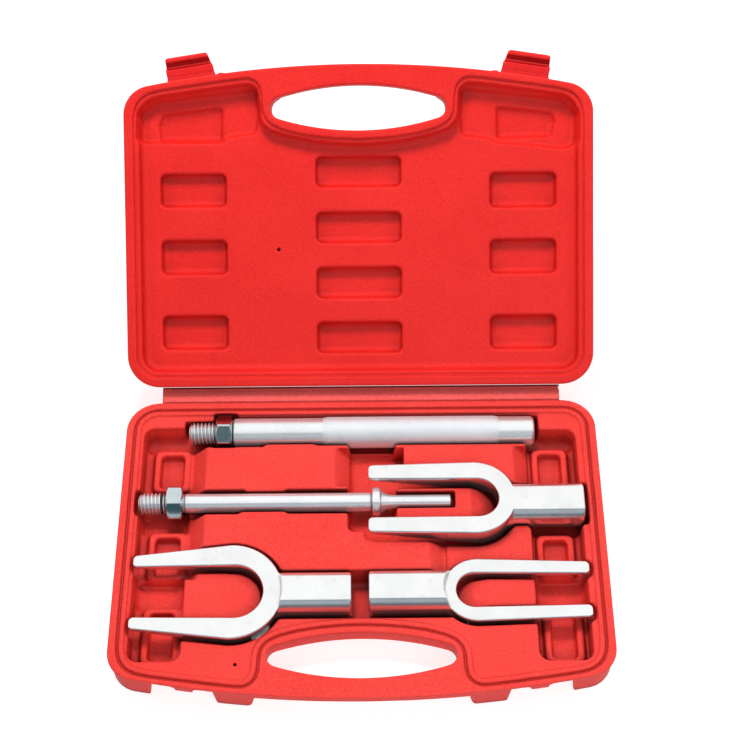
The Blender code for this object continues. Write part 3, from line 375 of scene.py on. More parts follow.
def lid_deck_outline():
    """The lid's deck: set in from the edges and passing behind the hand hole."""
    rear = 11.8
    front = 11.5
    side_x = CASE_HALF_W - 11.4
    neck_x = 77.0
    hole_x = 66.0
    hole_r = HOLE_SIDE_R + 9.5
    hole_fore = HOLE_FORE + HOLE_SIDE_OFF - math.sqrt(hole_r**2 - hole_x**2)
    right = [
        (side_x, rear),
        (side_x, bow_fore(side_x - 6, front) - 3.0),
        (150.0, bow_fore(150, front)),
        (115.0, bow_fore(115, front)),
        (neck_x, bow_fore(neck_x, front)),
        (neck_x, hole_fore + 5.0),
        (hole_x, hole_fore),
    ]
    behind_hole = []
    for i in range(1, 16):
        x = hole_x - 2 * hole_x * i / 16
        behind_hole.append((x, HOLE_FORE + HOLE_SIDE_OFF - math.sqrt(hole_r**2 - x**2)))
    return round_corners(to_xy(right + behind_hole + mirrored(right)), 12.0)


def fork_outline(fork, grow=0.0):
    sign = fork.points
    yoke_centre = fork.yoke_x + sign * fork.yoke_half
    gap_centre = fork.gap_x + sign * fork.gap_half
    tip_x = fork.tip_x + sign * grow
    yoke_half = fork.yoke_half + grow
    tip_half = fork.tip_half + grow
    gap_half = fork.gap_half - grow
    gap_tip_half = fork.gap_tip_half - grow
    radius = min(fork.tip_round * 0.85 + 0.8 * grow, 0.45 * (tip_half - gap_tip_half))
    # one tip's outer and inner corners, as (x, sideways)
    tip = []
    for i in range(6):
        turn = math.radians(90 * i / 5)
        x = tip_x - sign * radius * (1 - math.sin(turn))
        tip.append((x, -tip_half + radius * (1 - math.cos(turn))))
    for i in range(6):
        turn = math.radians(90 * i / 5)
        x = tip_x - sign * radius * (1 - math.cos(turn))
        tip.append((x, -gap_tip_half - radius * (1 - math.sin(turn))))

    half_turn = [math.radians(-90 + 180 * i / 28) for i in range(29)]
    points = list(tip)
    for turn in half_turn:
        x = gap_centre - sign * gap_half * math.cos(turn)
        points.append((x, gap_half * math.sin(turn)))
    points += [(x, -y) for x, y in reversed(tip)]
    for turn in reversed(half_turn):
        x = yoke_centre - sign * yoke_half * math.cos(turn)
        points.append((x, yoke_half * math.sin(turn)))
    return clean([(x, REAR_Y - fork.fore - y) for x, y in points])


# ------------------------------------------------------------------ distance fields
class Grid:
    """Sample points: X and Y have one layer, Z has one column, and they broadcast together."""

    def __init__(self, low, high, step):
        self.low = np.array(low, float)
        self.step = step
        x, y, z = [
            (start + step * np.arange(int(math.ceil((end - start) / step)) + 1)).astype(F32)
            for start, end in zip(low, high)
        ]
        plan_x, plan_y = np.meshgrid(x, y, indexing="ij")
        self.X = plan_x[..., None]
        self.Y = plan_y[..., None]
        self.Z = z[None, None, :]


def polygon(grid, points):
    """Distance to a closed outline in plan."""
    nearest = np.full(grid.X.shape, 1e9, F32)
    inside = np.zeros(grid.X.shape, bool)
    for (x0, y0), (x1, y1) in zip(points, points[1:] + points[:1]):
        edge_x = x1 - x0
        edge_y = y1 - y0
        from_x = grid.X - F32(x0)
        from_y = grid.Y - F32(y0)
        length_sq = edge_x * edge_x + edge_y * edge_y + 1e-12
        along = np.clip((from_x * edge_x + from_y * edge_y) / length_sq, 0, 1)
        off_x = from_x - edge_x * along
        off_y = from_y - edge_y * along
        np.minimum(nearest, off_x * off_x + off_y * off_y, out=nearest)
        if edge_y:
            crosses = (y0 <= grid.Y) != (y1 <= grid.Y)
            inside ^= crosses & (from_x < from_y * (edge_x / edge_y))
    nearest = np.sqrt(nearest)
    return np.where(inside, -nearest, nearest).astype(F32)


def rectangle(grid, x0, x1, fore0, fore1, corner_r=0.0):
    centre_x = (x0 + x1) / 2
    centre_y = REAR_Y - (fore0 + fore1) / 2
    off_x = np.abs(grid.X - F32(centre_x)) - ((x1 - x0) / 2 - corner_r)
    off_y = np.abs(grid.Y - F32(centre_y)) - ((fore1 - fore0) / 2 - corner_r)
    outside = np.hypot(np.maximum(off_x, 0), np.maximum(off_y, 0))
    return outside + np.minimum(np.maximum(off_x, off_y), 0) - corner_r


def from_point(grid, x, fore):
    return np.hypot(grid.X - x, grid.Y - (REAR_Y - fore))


def union(first, second, soft):
    """Both shapes, with a fillet of width `soft` where they meet."""
    near = np.maximum(soft - np.abs(first - second), 0) / soft
    return np.minimum(first, second) - near * near * (soft * 0.25)


def overlap(first, second, soft):
    """What the shapes share, with the edge where they cross rounded over width `soft`."""
    near = np.maximum(soft - np.abs(first - second), 0) / soft
    return np.maximum(first, second) + near * near * (soft * 0.25)


def cut(solid, tool, soft):
    return overlap(solid, -tool, soft)


def between(depth, top, bottom):
    return np.maximum(top - depth, depth - bottom)


def rounded(side, face, radius):
    """The overlap of a side and a face with a true round of this radius along their edge."""
    side = side + radius
    face = face + radius
    outside = np.hypot(np.maximum(side, 0), np.maximum(face, 0))
    return np.minimum(np.maximum(side, face), 0) + outside - radius


def smooth_step(value):
    ramped = np.clip(value, 0, 1)
    return ramped, 3 - 2 * ramped


def surface(field, grid, name):
    """The zero surface of a field as a mesh object, by surface nets: a vertex in each crossed cell
    and a quad across each crossed grid edge."""
    field = field.astype(F32)
    inside = field < 0
    nx, ny, nz = field.shape
    count = np.zeros((nx - 1, ny - 1, nz - 1), np.int8)
    for dx, dy, dz in product((0, 1), repeat=3):
        count += inside[dx : nx - 1 + dx, dy : ny - 1 + dy, dz : nz - 1 + dz]
    crossed = (count > 0) & (count < 8)
    cells = np.nonzero(crossed)
    total = len(cells[0])
    vertex_of = np.full(crossed.shape, -1, np.int32)
    vertex_of[cells] = np.arange(total, dtype=np.int32)
    corners = {
        (dx, dy, dz): field[cells[0] + dx, cells[1] + dy, cells[2] + dz]
        for dx, dy, dz in product((0, 1), repeat=3)
    }

    # each vertex is the mean of the crossings on its cell's twelve edges
    places = np.zeros((total, 3), F32)
    weights = np.zeros(total, F32)
    for axis, *others in product(range(3), (0, 1), (0, 1)):
        start = list(others)
        start.insert(axis, 0)
        end = list(others)
        end.insert(axis, 1)
        at_start = corners[tuple(start)]
        at_end = corners[tuple(end)]
        mask = (at_start < 0) != (at_end < 0)
        crossing = np.tile(np.array(start, F32), (mask.sum(), 1))
        crossing[:, axis] = at_start[mask] / (at_start[mask] - at_end[mask])
        places[mask] += crossing
        weights[mask] += 1
    places = (places / weights[:, None] + np.stack(cells, 1)) * grid.step + grid.low

    quads = []
    for axis in range(3):
        others = [k for k in range(3) if k != axis]
        lower = [slice(None)] * 3
        upper = [slice(None)] * 3
        lower[axis] = slice(0, -1)
        upper[axis] = slice(1, None)
        starts_inside = inside[tuple(lower)]
        mask = starts_inside != inside[tuple(upper)]
        for k, end in product(others, (0, -1)):
            border = [slice(None)] * 3
            border[k] = end
            mask[tuple(border)] = False
        edges = np.nonzero(mask)

        ring = []
        for back0, back1 in ((1, 1), (0, 1), (0, 0), (1, 0)):
            cell = [index.copy() for index in edges]
            cell[others[0]] -= back0
            cell[others[1]] -= back1
            ring.append(vertex_of[tuple(cell)])
        faces = np.stack(ring, 1)
        keep = starts_inside[edges] if axis != 1 else ~starts_inside[edges]
        faces[~keep] = faces[~keep][:, ::-1]
        quads.append(faces)
    return make_mesh(name, places * MM, np.concatenate(quads))


def link(name, data):
    obj = bpy.data.objects.new(name, data)
    bpy.context.scene.collection.objects.link(obj)
    return obj


def make_mesh(name, vertices, quads):
    """vertices: n x 3 in metres; quads: m x 4 vertex numbers."""
    quads = np.ascontiguousarray(quads, np.int32)
    mesh = bpy.data.meshes.new(name)
    mesh.vertices.add(len(vertices))
    mesh.vertices.foreach_set("co", np.ascontiguousarray(vertices, F32).ravel())
    mesh.loops.add(quads.size)
    mesh.loops.foreach_set("vertex_index", quads.ravel())
    mesh.polygons.add(len(quads))
    mesh.polygons.foreach_set("loop_start", np.arange(0, quads.size, 4, dtype=np.int32))
    mesh.update(calc_edges=True)
    mesh.validate()
    mesh.shade_smooth()
    return link(name, mesh)


def thin(obj, triangles):
    """Collapses a mesh of quads until about this many triangles are left."""
    present = len(obj.data.polygons) * 2
    if present <= triangles:
        return obj
    modifier = obj.modifiers.new("thin", "DECIMATE")
    modifier.ratio = triangles / present
    bpy.context.view_layer.update()
    depsgraph = bpy.context.evaluated_depsgraph_get()
    thinned = bpy.data.meshes.new_from_object(obj.evaluated_get(depsgraph))
    obj.modifiers.clear()
    obj.data = thinned
    thinned.shade_smooth()
    return obj


# ------------------------------------------------------------------ both case halves
# In a half, depth is the distance from its rim plane into it.
def case_half(grid, depth, face_depth, edge_r):
    """The solid block of a half with its flange, and the rim's plan field."""
    rim_plan = polygon(grid, case_outline(0))
    wall_plan = polygon(grid, case_outline(WALL_IN))
    body = rounded(wall_plan, depth - face_depth, edge_r)
    body = np.maximum(body, 1.2 - depth)
    flange = rounded(rim_plan, np.abs(depth - FLANGE_T / 2) - FLANGE_T / 2, 1.1)
    return union(body, flange, soft=1.6), rim_plan


def cut_latch_seats(grid, solid, rim_plan, depth, *, inward, start, centre, half_w, flare):
    """Two seats in the front wall, widening by `flare` with depth."""
    for side in (-1, 1):
        half = half_w + flare * (depth - start)
        across = (np.abs(grid.X - side * centre) - half) * 0.88
        back = -(rim_plan + inward) - 0.25 * (depth - start)
        seat = overlap(np.maximum(across, back), start - depth, soft=1.0)
        seat = np.maximum(seat, grid.Y + 60.0)
        solid = cut(solid, seat, soft=1.6)
    return solid


def add_hinge_rail(grid, solid, depth, bottom):
    """A rail along the rear wall."""
    behind = np.maximum(grid.Y - (REAR_Y - 0.3), (REAR_Y - 6) - grid.Y)
    rail = np.maximum(np.abs(grid.X) - 153.0, behind)
    return union(solid, np.maximum(rail, between(depth, 0.6, bottom)), soft=0.8)


def cut_grip(grid, solid, depth, *, half_w, fore, soft):
    """Lowers the outer side around the hand hole to form a grip."""
    plan = np.maximum(np.abs(grid.X) - half_w, grid.Y - (REAR_Y - fore))
    grip = np.maximum(plan + 0.2 * (GRIP_DEPTH - depth), GRIP_DEPTH - depth)
    return cut(solid, grip, soft)


def cut_hand_hole(grid, solid):
    return cut(solid, polygon(grid, hole_outline()), soft=1.8)


# ------------------------------------------------------------------ case base
def add_base_lugs(grid, solid, rim_plan, depth):
    """A tapered lug under the flange in each latch seat."""
    for side in (-1, 1):
        half = 7.6 - 0.42 * (depth - FLANGE_T)
        across = np.abs(grid.X - side * 123.0) - half
        lug = overlap(np.maximum(across * 0.9, rim_plan + 0.15), depth - 8.1, soft=1.0)
        lug = np.maximum(np.maximum(lug, grid.Y + 98.0), 2.0 - depth)
        solid = union(solid, lug, soft=1.2)
    return solid


def shape_base_top(grid, solid, depth):
    """The rim's flat, then the groove, a ridge and the deck with its pads."""
    groove = polygon(grid, groove_outline())
    ramped, bend = smooth_step((-groove - 4.2) / 1.2)
    top = 2.7 * np.exp(-((groove / 1.05) ** 2)) + DECK_DEPTH * ramped * ramped * bend + 0.05
    for x0, x1, fore0, fore1, pad_depth in BASE_PADS:
        on_pad = np.clip(0.5 - rectangle(grid, x0, x1, fore0, fore1, 2.0) / 2.0, 0, 1)
        on_pad = on_pad * (groove < -7)
        top = top * (1 - on_pad) + pad_depth * on_pad
    return overlap(solid, top - depth, soft=0.5)


def cut_base_pockets(grid, solid, depth):
    def box(x0, x1, fore0, fore1, corner_r=1.5):
        return rectangle(grid, x0, x1, fore0, fore1, corner_r)

    # plan, floor depth, wall draft, softness at the floor, softness at the top edge
    pockets = [
        (polygon(grid, to_xy(HANDLE_POCKET)), 17.5, 0.06, 4.0, 1.9),
        (box(-111.5, -94.5, 10.3, 39.6), 19.6, 0.03, 2.5, 1.9),  # handle's nut
        (box(-164.2, -126.5, 21.2, 213.8, 8.0), FLOOR_DEPTH, 0.10, 7.0, 1.9),  # left trough
        (box(123.6, 162.0, 25.0, 215.2, 8.0), FLOOR_DEPTH, 0.10, 7.0, 1.9),  # right trough
        (box(-10.0, 26.0, 36.4, 113.0, 5.0), FLOOR_DEPTH - 0.4, 0.10, 6.0, 1.9),  # middle trough
        (polygon(grid, to_xy(ADAPTER_POCKET)), 12.8, 0.05, 4.0, 1.9),
        (box(-167.0, -158.0, 75.8, 96.6, 2.5), 14.0, 0.04, 2.5, 1.9),  # adapter's threaded end
        (box(24.0, 69.0, 79.2, 93.2), 10.9, 0.02, 3.0, 1.9),  # adapter's plain end
    ]
    for name, floor in FORK_POCKET_DEPTHS.items():
        pockets.append((polygon(grid, fork_outline(FORKS[name], 2.3)), floor, 0.03, 3.0, 1.9))
    pockets += [
        # shank of the ball joint fork, then the facing shanks of the other two
        (box(106.8, 166.8, 73.0, 107.5, 2.5), FLOOR_DEPTH - 0.1, 0.03, 4.0, 1.9),
        (box(-62.6, 64.6, 144.4, 181.4, 2.5), FLOOR_DEPTH - 0.15, 0.03, 4.0, 1.9),
        # shallow steps between the pockets
        (box(58.0, 125.0, 108.3, 149.0), 7.0, 0.0, 1.5, 1.6),
        (box(76.0, 125.0, 148.2, 174.3), 4.6, 0.0, 1.5, 1.6),
        (box(-129.5, -101.0, 139.0, 185.0), 4.5, 0.0, 1.5, 1.6),
    ]
    for plan, floor, draft, floor_soft, edge_soft in pockets:
        pocket = overlap(plan + depth * draft, depth - floor, floor_soft)
        solid = cut(solid, pocket, edge_soft)
    return solid


def cut_base_slopes(grid, solid, depth):
    for x0, depth0, x1, depth1, fore0, fore1, run_on in BASE_SLOPES:
        length = math.hypot(x1 - x0, depth1 - depth0)
        fall = (depth1 - depth0) / (x1 - x0)
        plane = (depth - depth0 - (grid.X - x0) * fall) * (abs(x1 - x0) / length)
        low, high = (x0 - 2, x1 + run_on) if x1 > x0 else (x1 - run_on, x0 + 2)
        plan = rectangle(grid, max(low, -161.0), min(high, 161.0), fore0, fore1)
        floor = FLOOR_DEPTH if run_on == TO_TROUGH else max(depth0, depth1) + 1.5
        slope = overlap(plane, np.maximum(plan, depth - floor), soft=2.5)
        solid = cut(solid, slope, soft=1.0)
    return solid


def add_base_blocks(grid, solid, depth):
    """Hollow blocks, each on a lower foot that fills the trough's width."""
    root = depth - 24.0
    for x0, x1, fore0, fore1 in BASE_BLOCKS:
        plan = rectangle(grid, x0, x1, fore0, fore1, 4.5)
        sides = plan - (depth - BLOCK_DEPTH) * 0.08 - 0.3
        block = np.maximum(overlap(sides, BLOCK_DEPTH - depth, soft=2.6), root)
        foot_x = (-162.5, -127.5) if x0 < 0 else (125.0, 160.5)
        foot = rectangle(grid, *foot_x, fore0 - 1.0, fore1 + 1.0, 3.0)
        foot = overlap(foot, (BLOCK_DEPTH + 4.6) - depth, soft=3.0)
        solid = union(solid, np.maximum(foot, root), soft=3.0)
        solid = union(solid, block, soft=3.0)
        hollow = rectangle(grid, x0 + 4.6, x1 - 4.8, fore0 + 3.8, fore1 - 3.0, 3.6)
        hollow = hollow + (depth - BLOCK_DEPTH) * 0.10
        hollow = overlap(hollow, depth - (FLOOR_DEPTH - 0.8), soft=3.0)
        solid = cut(solid, hollow, soft=2.2)
    return solid


def build_base():
    low = (-CASE_GRID_X, -CASE_GRID_Y, -2.4)
    grid = Grid(low, (CASE_GRID_X, CASE_GRID_Y, 30.0), CASE_STEP)
    depth = RIM_Z - grid.Z
    solid, rim_plan = case_half(grid, depth, BASE_H, BASE_EDGE_R)
    solid = cut_latch_seats(
        grid, solid, rim_plan, depth,
        inward=11.0, start=FLANGE_T, centre=124.7, half_w=20.6, flare=0.12,
    )
    solid = add_base_lugs(grid, solid, rim_plan, depth)
    solid = add_hinge_rail(grid, solid, depth, bottom=6.2)
    solid = shape_base_top(grid, solid, depth)
    solid = cut_base_pockets(grid, solid, depth)
    solid = cut_base_slopes(grid, solid, depth)
    solid = add_base_blocks(grid, solid, depth)
    solid = cut_grip(grid, solid, depth, half_w=74.0, fore=187.0, soft=4.0)
    solid = cut_hand_hole(grid, solid)
    # a pinhole left of the hand hole
    pinhole = from_point(grid, -88.0, 216.5) - 1.25
    solid = cut(solid, np.maximum(pinhole, depth - 7.0), soft=0.4)
    return thin(surface(solid, grid, "base_shell"), CASE_TRIANGLES)


# ------------------------------------------------------------------ opening of the lid
# The strip turns half of the opening angle about the base's fold, the lid the rest about its own.
FOLD_Y = REAR_Y + FOLD_OUT
BASE_FOLD_Z = RIM_Z - BASE_FOLD_DEPTH
LID_FOLD_Z = BASE_FOLD_Z + STRIP_W
HALF_OPEN = Matrix.Rotation(-math.radians(OPEN_DEG / 2), 4, "X")
STRIP_PLACE = Matrix.Translation(Vector((0, FOLD_Y, BASE_FOLD_Z)) * MM) @ HALF_OPEN
LID_PLACE = STRIP_PLACE @ Matrix.Translation(Vector((0, 0, STRIP_W)) * MM) @ HALF_OPEN
SHUT_TO_FOLD = Matrix.Translation(Vector((0, -FOLD_Y, -LID_FOLD_Z)) * MM)


# ------------------------------------------------------------------ lid
def shape_lid_inside(grid, solid, depth):
    """The rim's flat, a step down to a ledge, then the wall down to the deck."""
    groove = polygon(grid, groove_outline())
    ramped, bend = smooth_step((-groove - 0.1) / 0.8)
    bead = 0.3 * np.exp(-(((groove + 1.2) / 0.9) ** 2))
    ledge = 2.3 * ramped * ramped * bend + bead + 0.05
    solid = overlap(solid, ledge - depth, soft=0.4)
    deck = np.minimum(polygon(grid, lid_deck_outline()), groove + 4.6)
    deck = overlap(deck + (depth - 3.0) * 0.16, depth - LID_DECK, soft=5.0)
    return cut(solid, deck, soft=1.6)


def cut_lid_pockets(grid, solid, depth):
    for points in LID_CORNER_AREAS:
        plan = polygon(grid, round_corners(to_xy(points), 5.0))
        area = overlap(plan + (depth - LID_DECK) * 0.3 + 0.3, depth - LID_CORNER, soft=3.0)
        solid = cut(solid, area, soft=1.6)
    plans = [polygon(grid, round_corners(to_xy(points), 3.5)) for points in LID_CORNER_POCKETS]
    plans += [rectangle(grid, *box, 5.0) for box in LID_POCKETS]
    for plan in plans:
        pocket = overlap(plan + (depth - LID_DECK) * 0.14 + 0.3, depth - LID_POCKET, soft=4.5)
        solid = cut(solid, pocket, soft=2.2)
    return solid


def add_latch_ears(grid, solid, depth):
    """A small ear at the inner end of each latch's pivot."""
    front = bow_fore(103.5)
    for side in (-1, 1):
        ends = sorted((side * 105.6, side * 101.2))
        ear = rectangle(grid, *ends, front - 2.0, front + 0.9, 0.4)
        solid = union(solid, np.maximum(ear, between(depth, 1.2, 5.6)), soft=0.8)
    return solid


def build_lid():
    """Built in its shut place over the base, then swung open."""
    low = (-CASE_GRID_X, -CASE_GRID_Y, LID_RIM_Z - 3.2)
    grid = Grid(low, (CASE_GRID_X, CASE_GRID_Y, LID_RIM_Z + LID_H + 2.4), CASE_STEP)
    depth = grid.Z - LID_RIM_Z
    solid, rim_plan = case_half(grid, depth, LID_H, LID_EDGE_R)
    solid = cut_latch_seats(
        grid, solid, rim_plan, depth,
        inward=5.0, start=3.9, centre=LATCH_X, half_w=19.2, flare=0.4,
    )
    solid = add_hinge_rail(grid, solid, depth, bottom=11.8)
    solid = shape_lid_inside(grid, solid, depth)
    solid = cut_lid_pockets(grid, solid, depth)
    solid = cut_grip(grid, solid, depth, half_w=58.0, fore=190.5, soft=3.0)
    solid = add_latch_ears(grid, solid, depth)
    solid = cut_hand_hole(grid, solid)
    # a pinhole in the deck, with a low ring around it
    pinhole = from_point(grid, -62.0, 104.0)
    solid = cut(solid, np.maximum(pinhole - 1.2, depth - 16.0), soft=0.4)
    ring_layer = np.maximum(LID_DECK - 0.35 - depth, depth - LID_DECK - 1.0)
    solid = union(solid, np.maximum(np.abs(pinhole - 3.4) - 0.5, ring_layer), soft=0.5)
    solid = np.maximum(solid, -(depth + 1.0))
    obj = thin(surface(solid, grid, "lid_shell"), CASE_TRIANGLES)
    obj.data.transform(LID_PLACE @ SHUT_TO_FOLD)
    return obj


# ------------------------------------------------------------------ strip and latches
def recalculate_normals(mesh, weld=False):
    work = bmesh.new()
    work.from_mesh(mesh)
    if weld:
        bmesh.ops.remove_doubles(work, verts=work.verts, dist=0.000001)
    bmesh.ops.recalc_face_normals(work, faces=work.faces)
    work.to_mesh(mesh)
    work.free()


def sweep(name, rings):
    """A capped mesh through closed rings of points in mm, all of the same length."""
    points = np.array(rings, float)
    count, size = points.shape[:2]
    faces = []
    for i in range(count - 1):
        for j in range(size):
            here = i * size + j
            beside = i * size + (j + 1) % size
            faces.append((here, beside, beside + size, here + size))
    faces.append(tuple(reversed(range(size))))
    faces.append(tuple((count - 1) * size + j for j in range(size)))
    mesh = bpy.data.meshes.new(name)
    mesh.from_pydata((points.reshape(-1, 3) * MM).tolist(), [], faces)
    recalculate_normals(mesh)
    return link(name, mesh)


def sharpen(obj, degrees):
    obj.data.shade_smooth()
    obj.data.set_sharp_from_angle(angle=math.radians(degrees))
    return obj


def resample(points, step):
    """The closed outline with points added along its sides, about `step` or a little more apart."""
    dense = []
    for (x0, y0), (x1, y1) in zip(points, points[1:] + points[:1]):
        count = max(1, int(math.dist((x0, y0), (x1, y1)) / step))
        dense += [(x0 + (x1 - x0) * i / count, y0 + (y1 - y0) * i / count) for i in range(count)]
    return dense


def build_strip():
    """Thin at both folds, with a bead beside each, a slight dish between and notched ends."""
    outer = []
    inner = []
    for i in range(41):
        z = STRIP_W * i / 40
        edge = min(z, STRIP_W - z)
        bead = 0.30 * math.exp(-(((edge - 1.6) / 0.7) ** 2))
        dish = 0.06 * math.sin(math.pi * z / STRIP_W)
        outer.append((-(0.42 + 0.34 * min(1, edge / 1.0) + bead - dish), z))
        inner.append((0.45 + 0.25 * min(1, edge / 1.0), z))
    section = outer + list(reversed(inner))

    left = [-STRIP_HALF_L, -STRIP_HALF_L + 0.4]
    middle = np.linspace(-STRIP_HALF_L + 3, STRIP_HALF_L - 3, 60)
    stations = np.concatenate([left, middle, [STRIP_HALF_L - 0.4, STRIP_HALF_L]])
    rings = []
    for x in stations:
        from_end = min(abs(x + STRIP_HALF_L), abs(x - STRIP_HALF_L))
        thickness = 1.0 if from_end > 1 else 0.75
        wave = 0.05 * math.sin(x * 0.083) + 0.04 * math.sin(x * 0.031 + 1)
        ring = []
        for y, z in section:
            ring_x = x
            if from_end < 1:
                notch = 0.9 * math.exp(-(((z - 2.6) / 0.8) ** 2))
                notch += 0.9 * math.exp(-(((z - STRIP_W + 2.6) / 0.8) ** 2))
                ring_x = x - math.copysign(notch, x)
            ring.append((ring_x, y * thickness + wave * math.sin(math.pi * z / STRIP_W), z))
        rings.append(ring)
    obj = sweep("hinge_band", rings)
    obj.data.transform(STRIP_PLACE)
    return sharpen(obj, 50)


def build_latch(name, side):
    """A latch plate open on its pivot: ribs across it, and a rolled lip at its free edge."""
    section = resample(arc(0, 0, 1.2, -60, 90, 5) + LATCH_SECTION, 0.7)
    heights, half_widths = zip(*LATCH_WIDTHS)
    middle_y = -1.4
    rings = []
    for i in range(37):
        across = -math.cos(math.pi * i / 36)
        edge = max(0.0, (abs(across) - 0.93) / 0.07)
        thickness = 1 - 0.22 * edge * edge
        ring = []
        for y, z in section:
            half = float(np.interp(z, heights, half_widths))
            x = across * half + side * 0.09 * max(0.0, -z - 2.0)
            lift = 0.5 * edge * edge if z < -16.6 else 0.0
            ring.append((x, middle_y + (y - middle_y) * thickness, z + lift))
        rings.append(ring)
    obj = sweep(name, rings)
    pivot = (side * LATCH_X, REAR_Y - bow_fore(LATCH_X), LID_RIM_Z + LATCH_PIVOT_UP)
    pivot = Vector(pivot) * MM + SHUT_TO_FOLD.translation
    # the latch follows the bow of the front edge
    lean = Matrix.Rotation(math.asin(LATCH_X / BOW_R) * side, 4, "Z")
    swing = Matrix.Rotation(-math.radians(LATCH_OPEN_DEG), 4, "X")
    obj.data.transform(LID_PLACE @ Matrix.Translation(pivot) @ (lean @ swing))
    return sharpen(obj, 40)


# ------------------------------------------------------------------ turned tools
def tool_place(x, fore, turn=0.0):
    """Lays a tool's local Z along +X, turned about its axis by `turn` degrees."""
    place = Matrix.Translation(Vector((x, REAR_Y - fore, AXIS_Z)) * MM)
    return place @ Matrix.Rotation(math.radians(turn), 4, "X") @ Matrix.Rotation(math.pi / 2, 4, "Y")


def around(count):
    return np.arange(count) * math.tau / count


def grid_quads(index, next_index, j, next_j):
    """Quads between neighbouring rings, given each ring's first vertex and places within it."""
    corners = [index + j, index + next_j, next_index + next_j, next_index + j]
    return np.stack(corners, -1).reshape(-1, 4)


def lathe(name, rows, angles):
    """rows: (z, radius) along the axis, each a number or one value per angle."""
    count = len(angles)
    rings = []
    for z, radius in rows:
        radii = np.full(count, radius, float)
        heights = np.full(count, z, float)
        rings.append(np.stack([radii * np.cos(angles), radii * np.sin(angles), heights], 1))
    i = np.arange(len(rows) - 1)[:, None] * count
    j = np.arange(count)[None, :]
    quads = grid_quads(i, i + count, j, (j + 1) % count)
    obj = make_mesh(name, np.concatenate(rings) * MM, quads)
    recalculate_normals(obj.data, weld=True)
    return obj


def threaded_end(angles, free_end, shoulder, crest_r, gap=None):
    """Rows of a flat end and a helical thread; no crest rises within the gap (z from, z to)."""
    rows = [
        (free_end, 0.0),
        (free_end, 3.0),
        (free_end, THREAD_ROOT - 1.4),
        (free_end + 0.25, THREAD_ROOT - 0.9),
    ]
    start = free_end + 0.5
    end = shoulder - 0.1
    lead_in = 1.6
    run_out = 2.2
    count = int((end - start) / 0.2)
    for i in range(count + 1):
        z = start + (end - start) * i / count
        phase = ((z / PITCH) - angles / math.tau) % 1.0
        ridge = 1 - np.abs(2 * phase - 1)
        ramped, bend = smooth_step((ridge - 0.10) / 0.72)
        radius = THREAD_ROOT + (crest_r - THREAD_ROOT) * (ramped * ramped * bend)
        fade = min(1.0, max(0.0, (z - start) / lead_in))
        fade *= min(1.0, max(0.0, (end - z) / run_out))
        if fade < 1:
            low = THREAD_ROOT - (0.9 if z - start < lead_in else 0.0) * (1 - fade)
            radius = low + (radius - low) * fade
        if gap and gap[0] < z < gap[1]:
            radius = np.minimum(radius, THREAD_ROOT)
        rows.append((z, radius))
    return rows


def knurl_rows(angles):
    """Shallow crossed grooves, fading at both ends."""
    rows = []
    for z in np.arange(KNURL_X0, KNURL_X1 + 0.01, 0.33):
        fade = min(1.0, (z - KNURL_X0) / 3.0 + 0.15, (KNURL_X1 - z) / 3.0 + 0.15)
        turn = angles * KNURL_COUNT
        shift = z * (math.tau / KNURL_PITCH)
        ridge = np.maximum(np.cos(turn + shift), np.cos(turn - shift))
        groove = KNURL_DEPTH * fade * (1 - ridge) * 0.5
        rows.append((z, (HANDLE_R + (KNURL_R - HANDLE_R) * fade) - groove))
    return rows


def build_handle():
    angles = around(208)
    rows = threaded_end(angles, HANDLE_X0, HANDLE_SHOULDER, HANDLE_CREST_R)
    rows += [(HANDLE_SHOULDER, THREAD_ROOT), (HANDLE_SHOULDER, 9.2)]
    rows += [(HANDLE_SHOULDER + past, HANDLE_R - less) for past, less in HANDLE_SHOULDER_STEPS]
    rows += [(z, HANDLE_R) for z in np.linspace(-90, KNURL_X0 - 2.2, 12)]
    rows += [(KNURL_X0 - 1.4, HANDLE_R), (KNURL_X0 - 0.6, HANDLE_R + 0.12)]
    rows += knurl_rows(angles)
    rows += [(KNURL_X1 + 0.5, HANDLE_R + 0.1), (KNURL_X1 + 1.2, HANDLE_R)]
    rows += [(z, HANDLE_R) for z in np.linspace(KNURL_X1 + 2.5, HANDLE_X1 - 4.2, 6)]
    rows += [(HANDLE_X1 - before, HANDLE_R - less) for before, less in HANDLE_END_STEPS]
    rows += [(HANDLE_X1, 3.5), (HANDLE_X1, 0.0)]
    obj = lathe("handle_bar", rows, angles)
    obj.data.transform(tool_place(0, HANDLE_FORE))
    return sharpen(obj, 55)


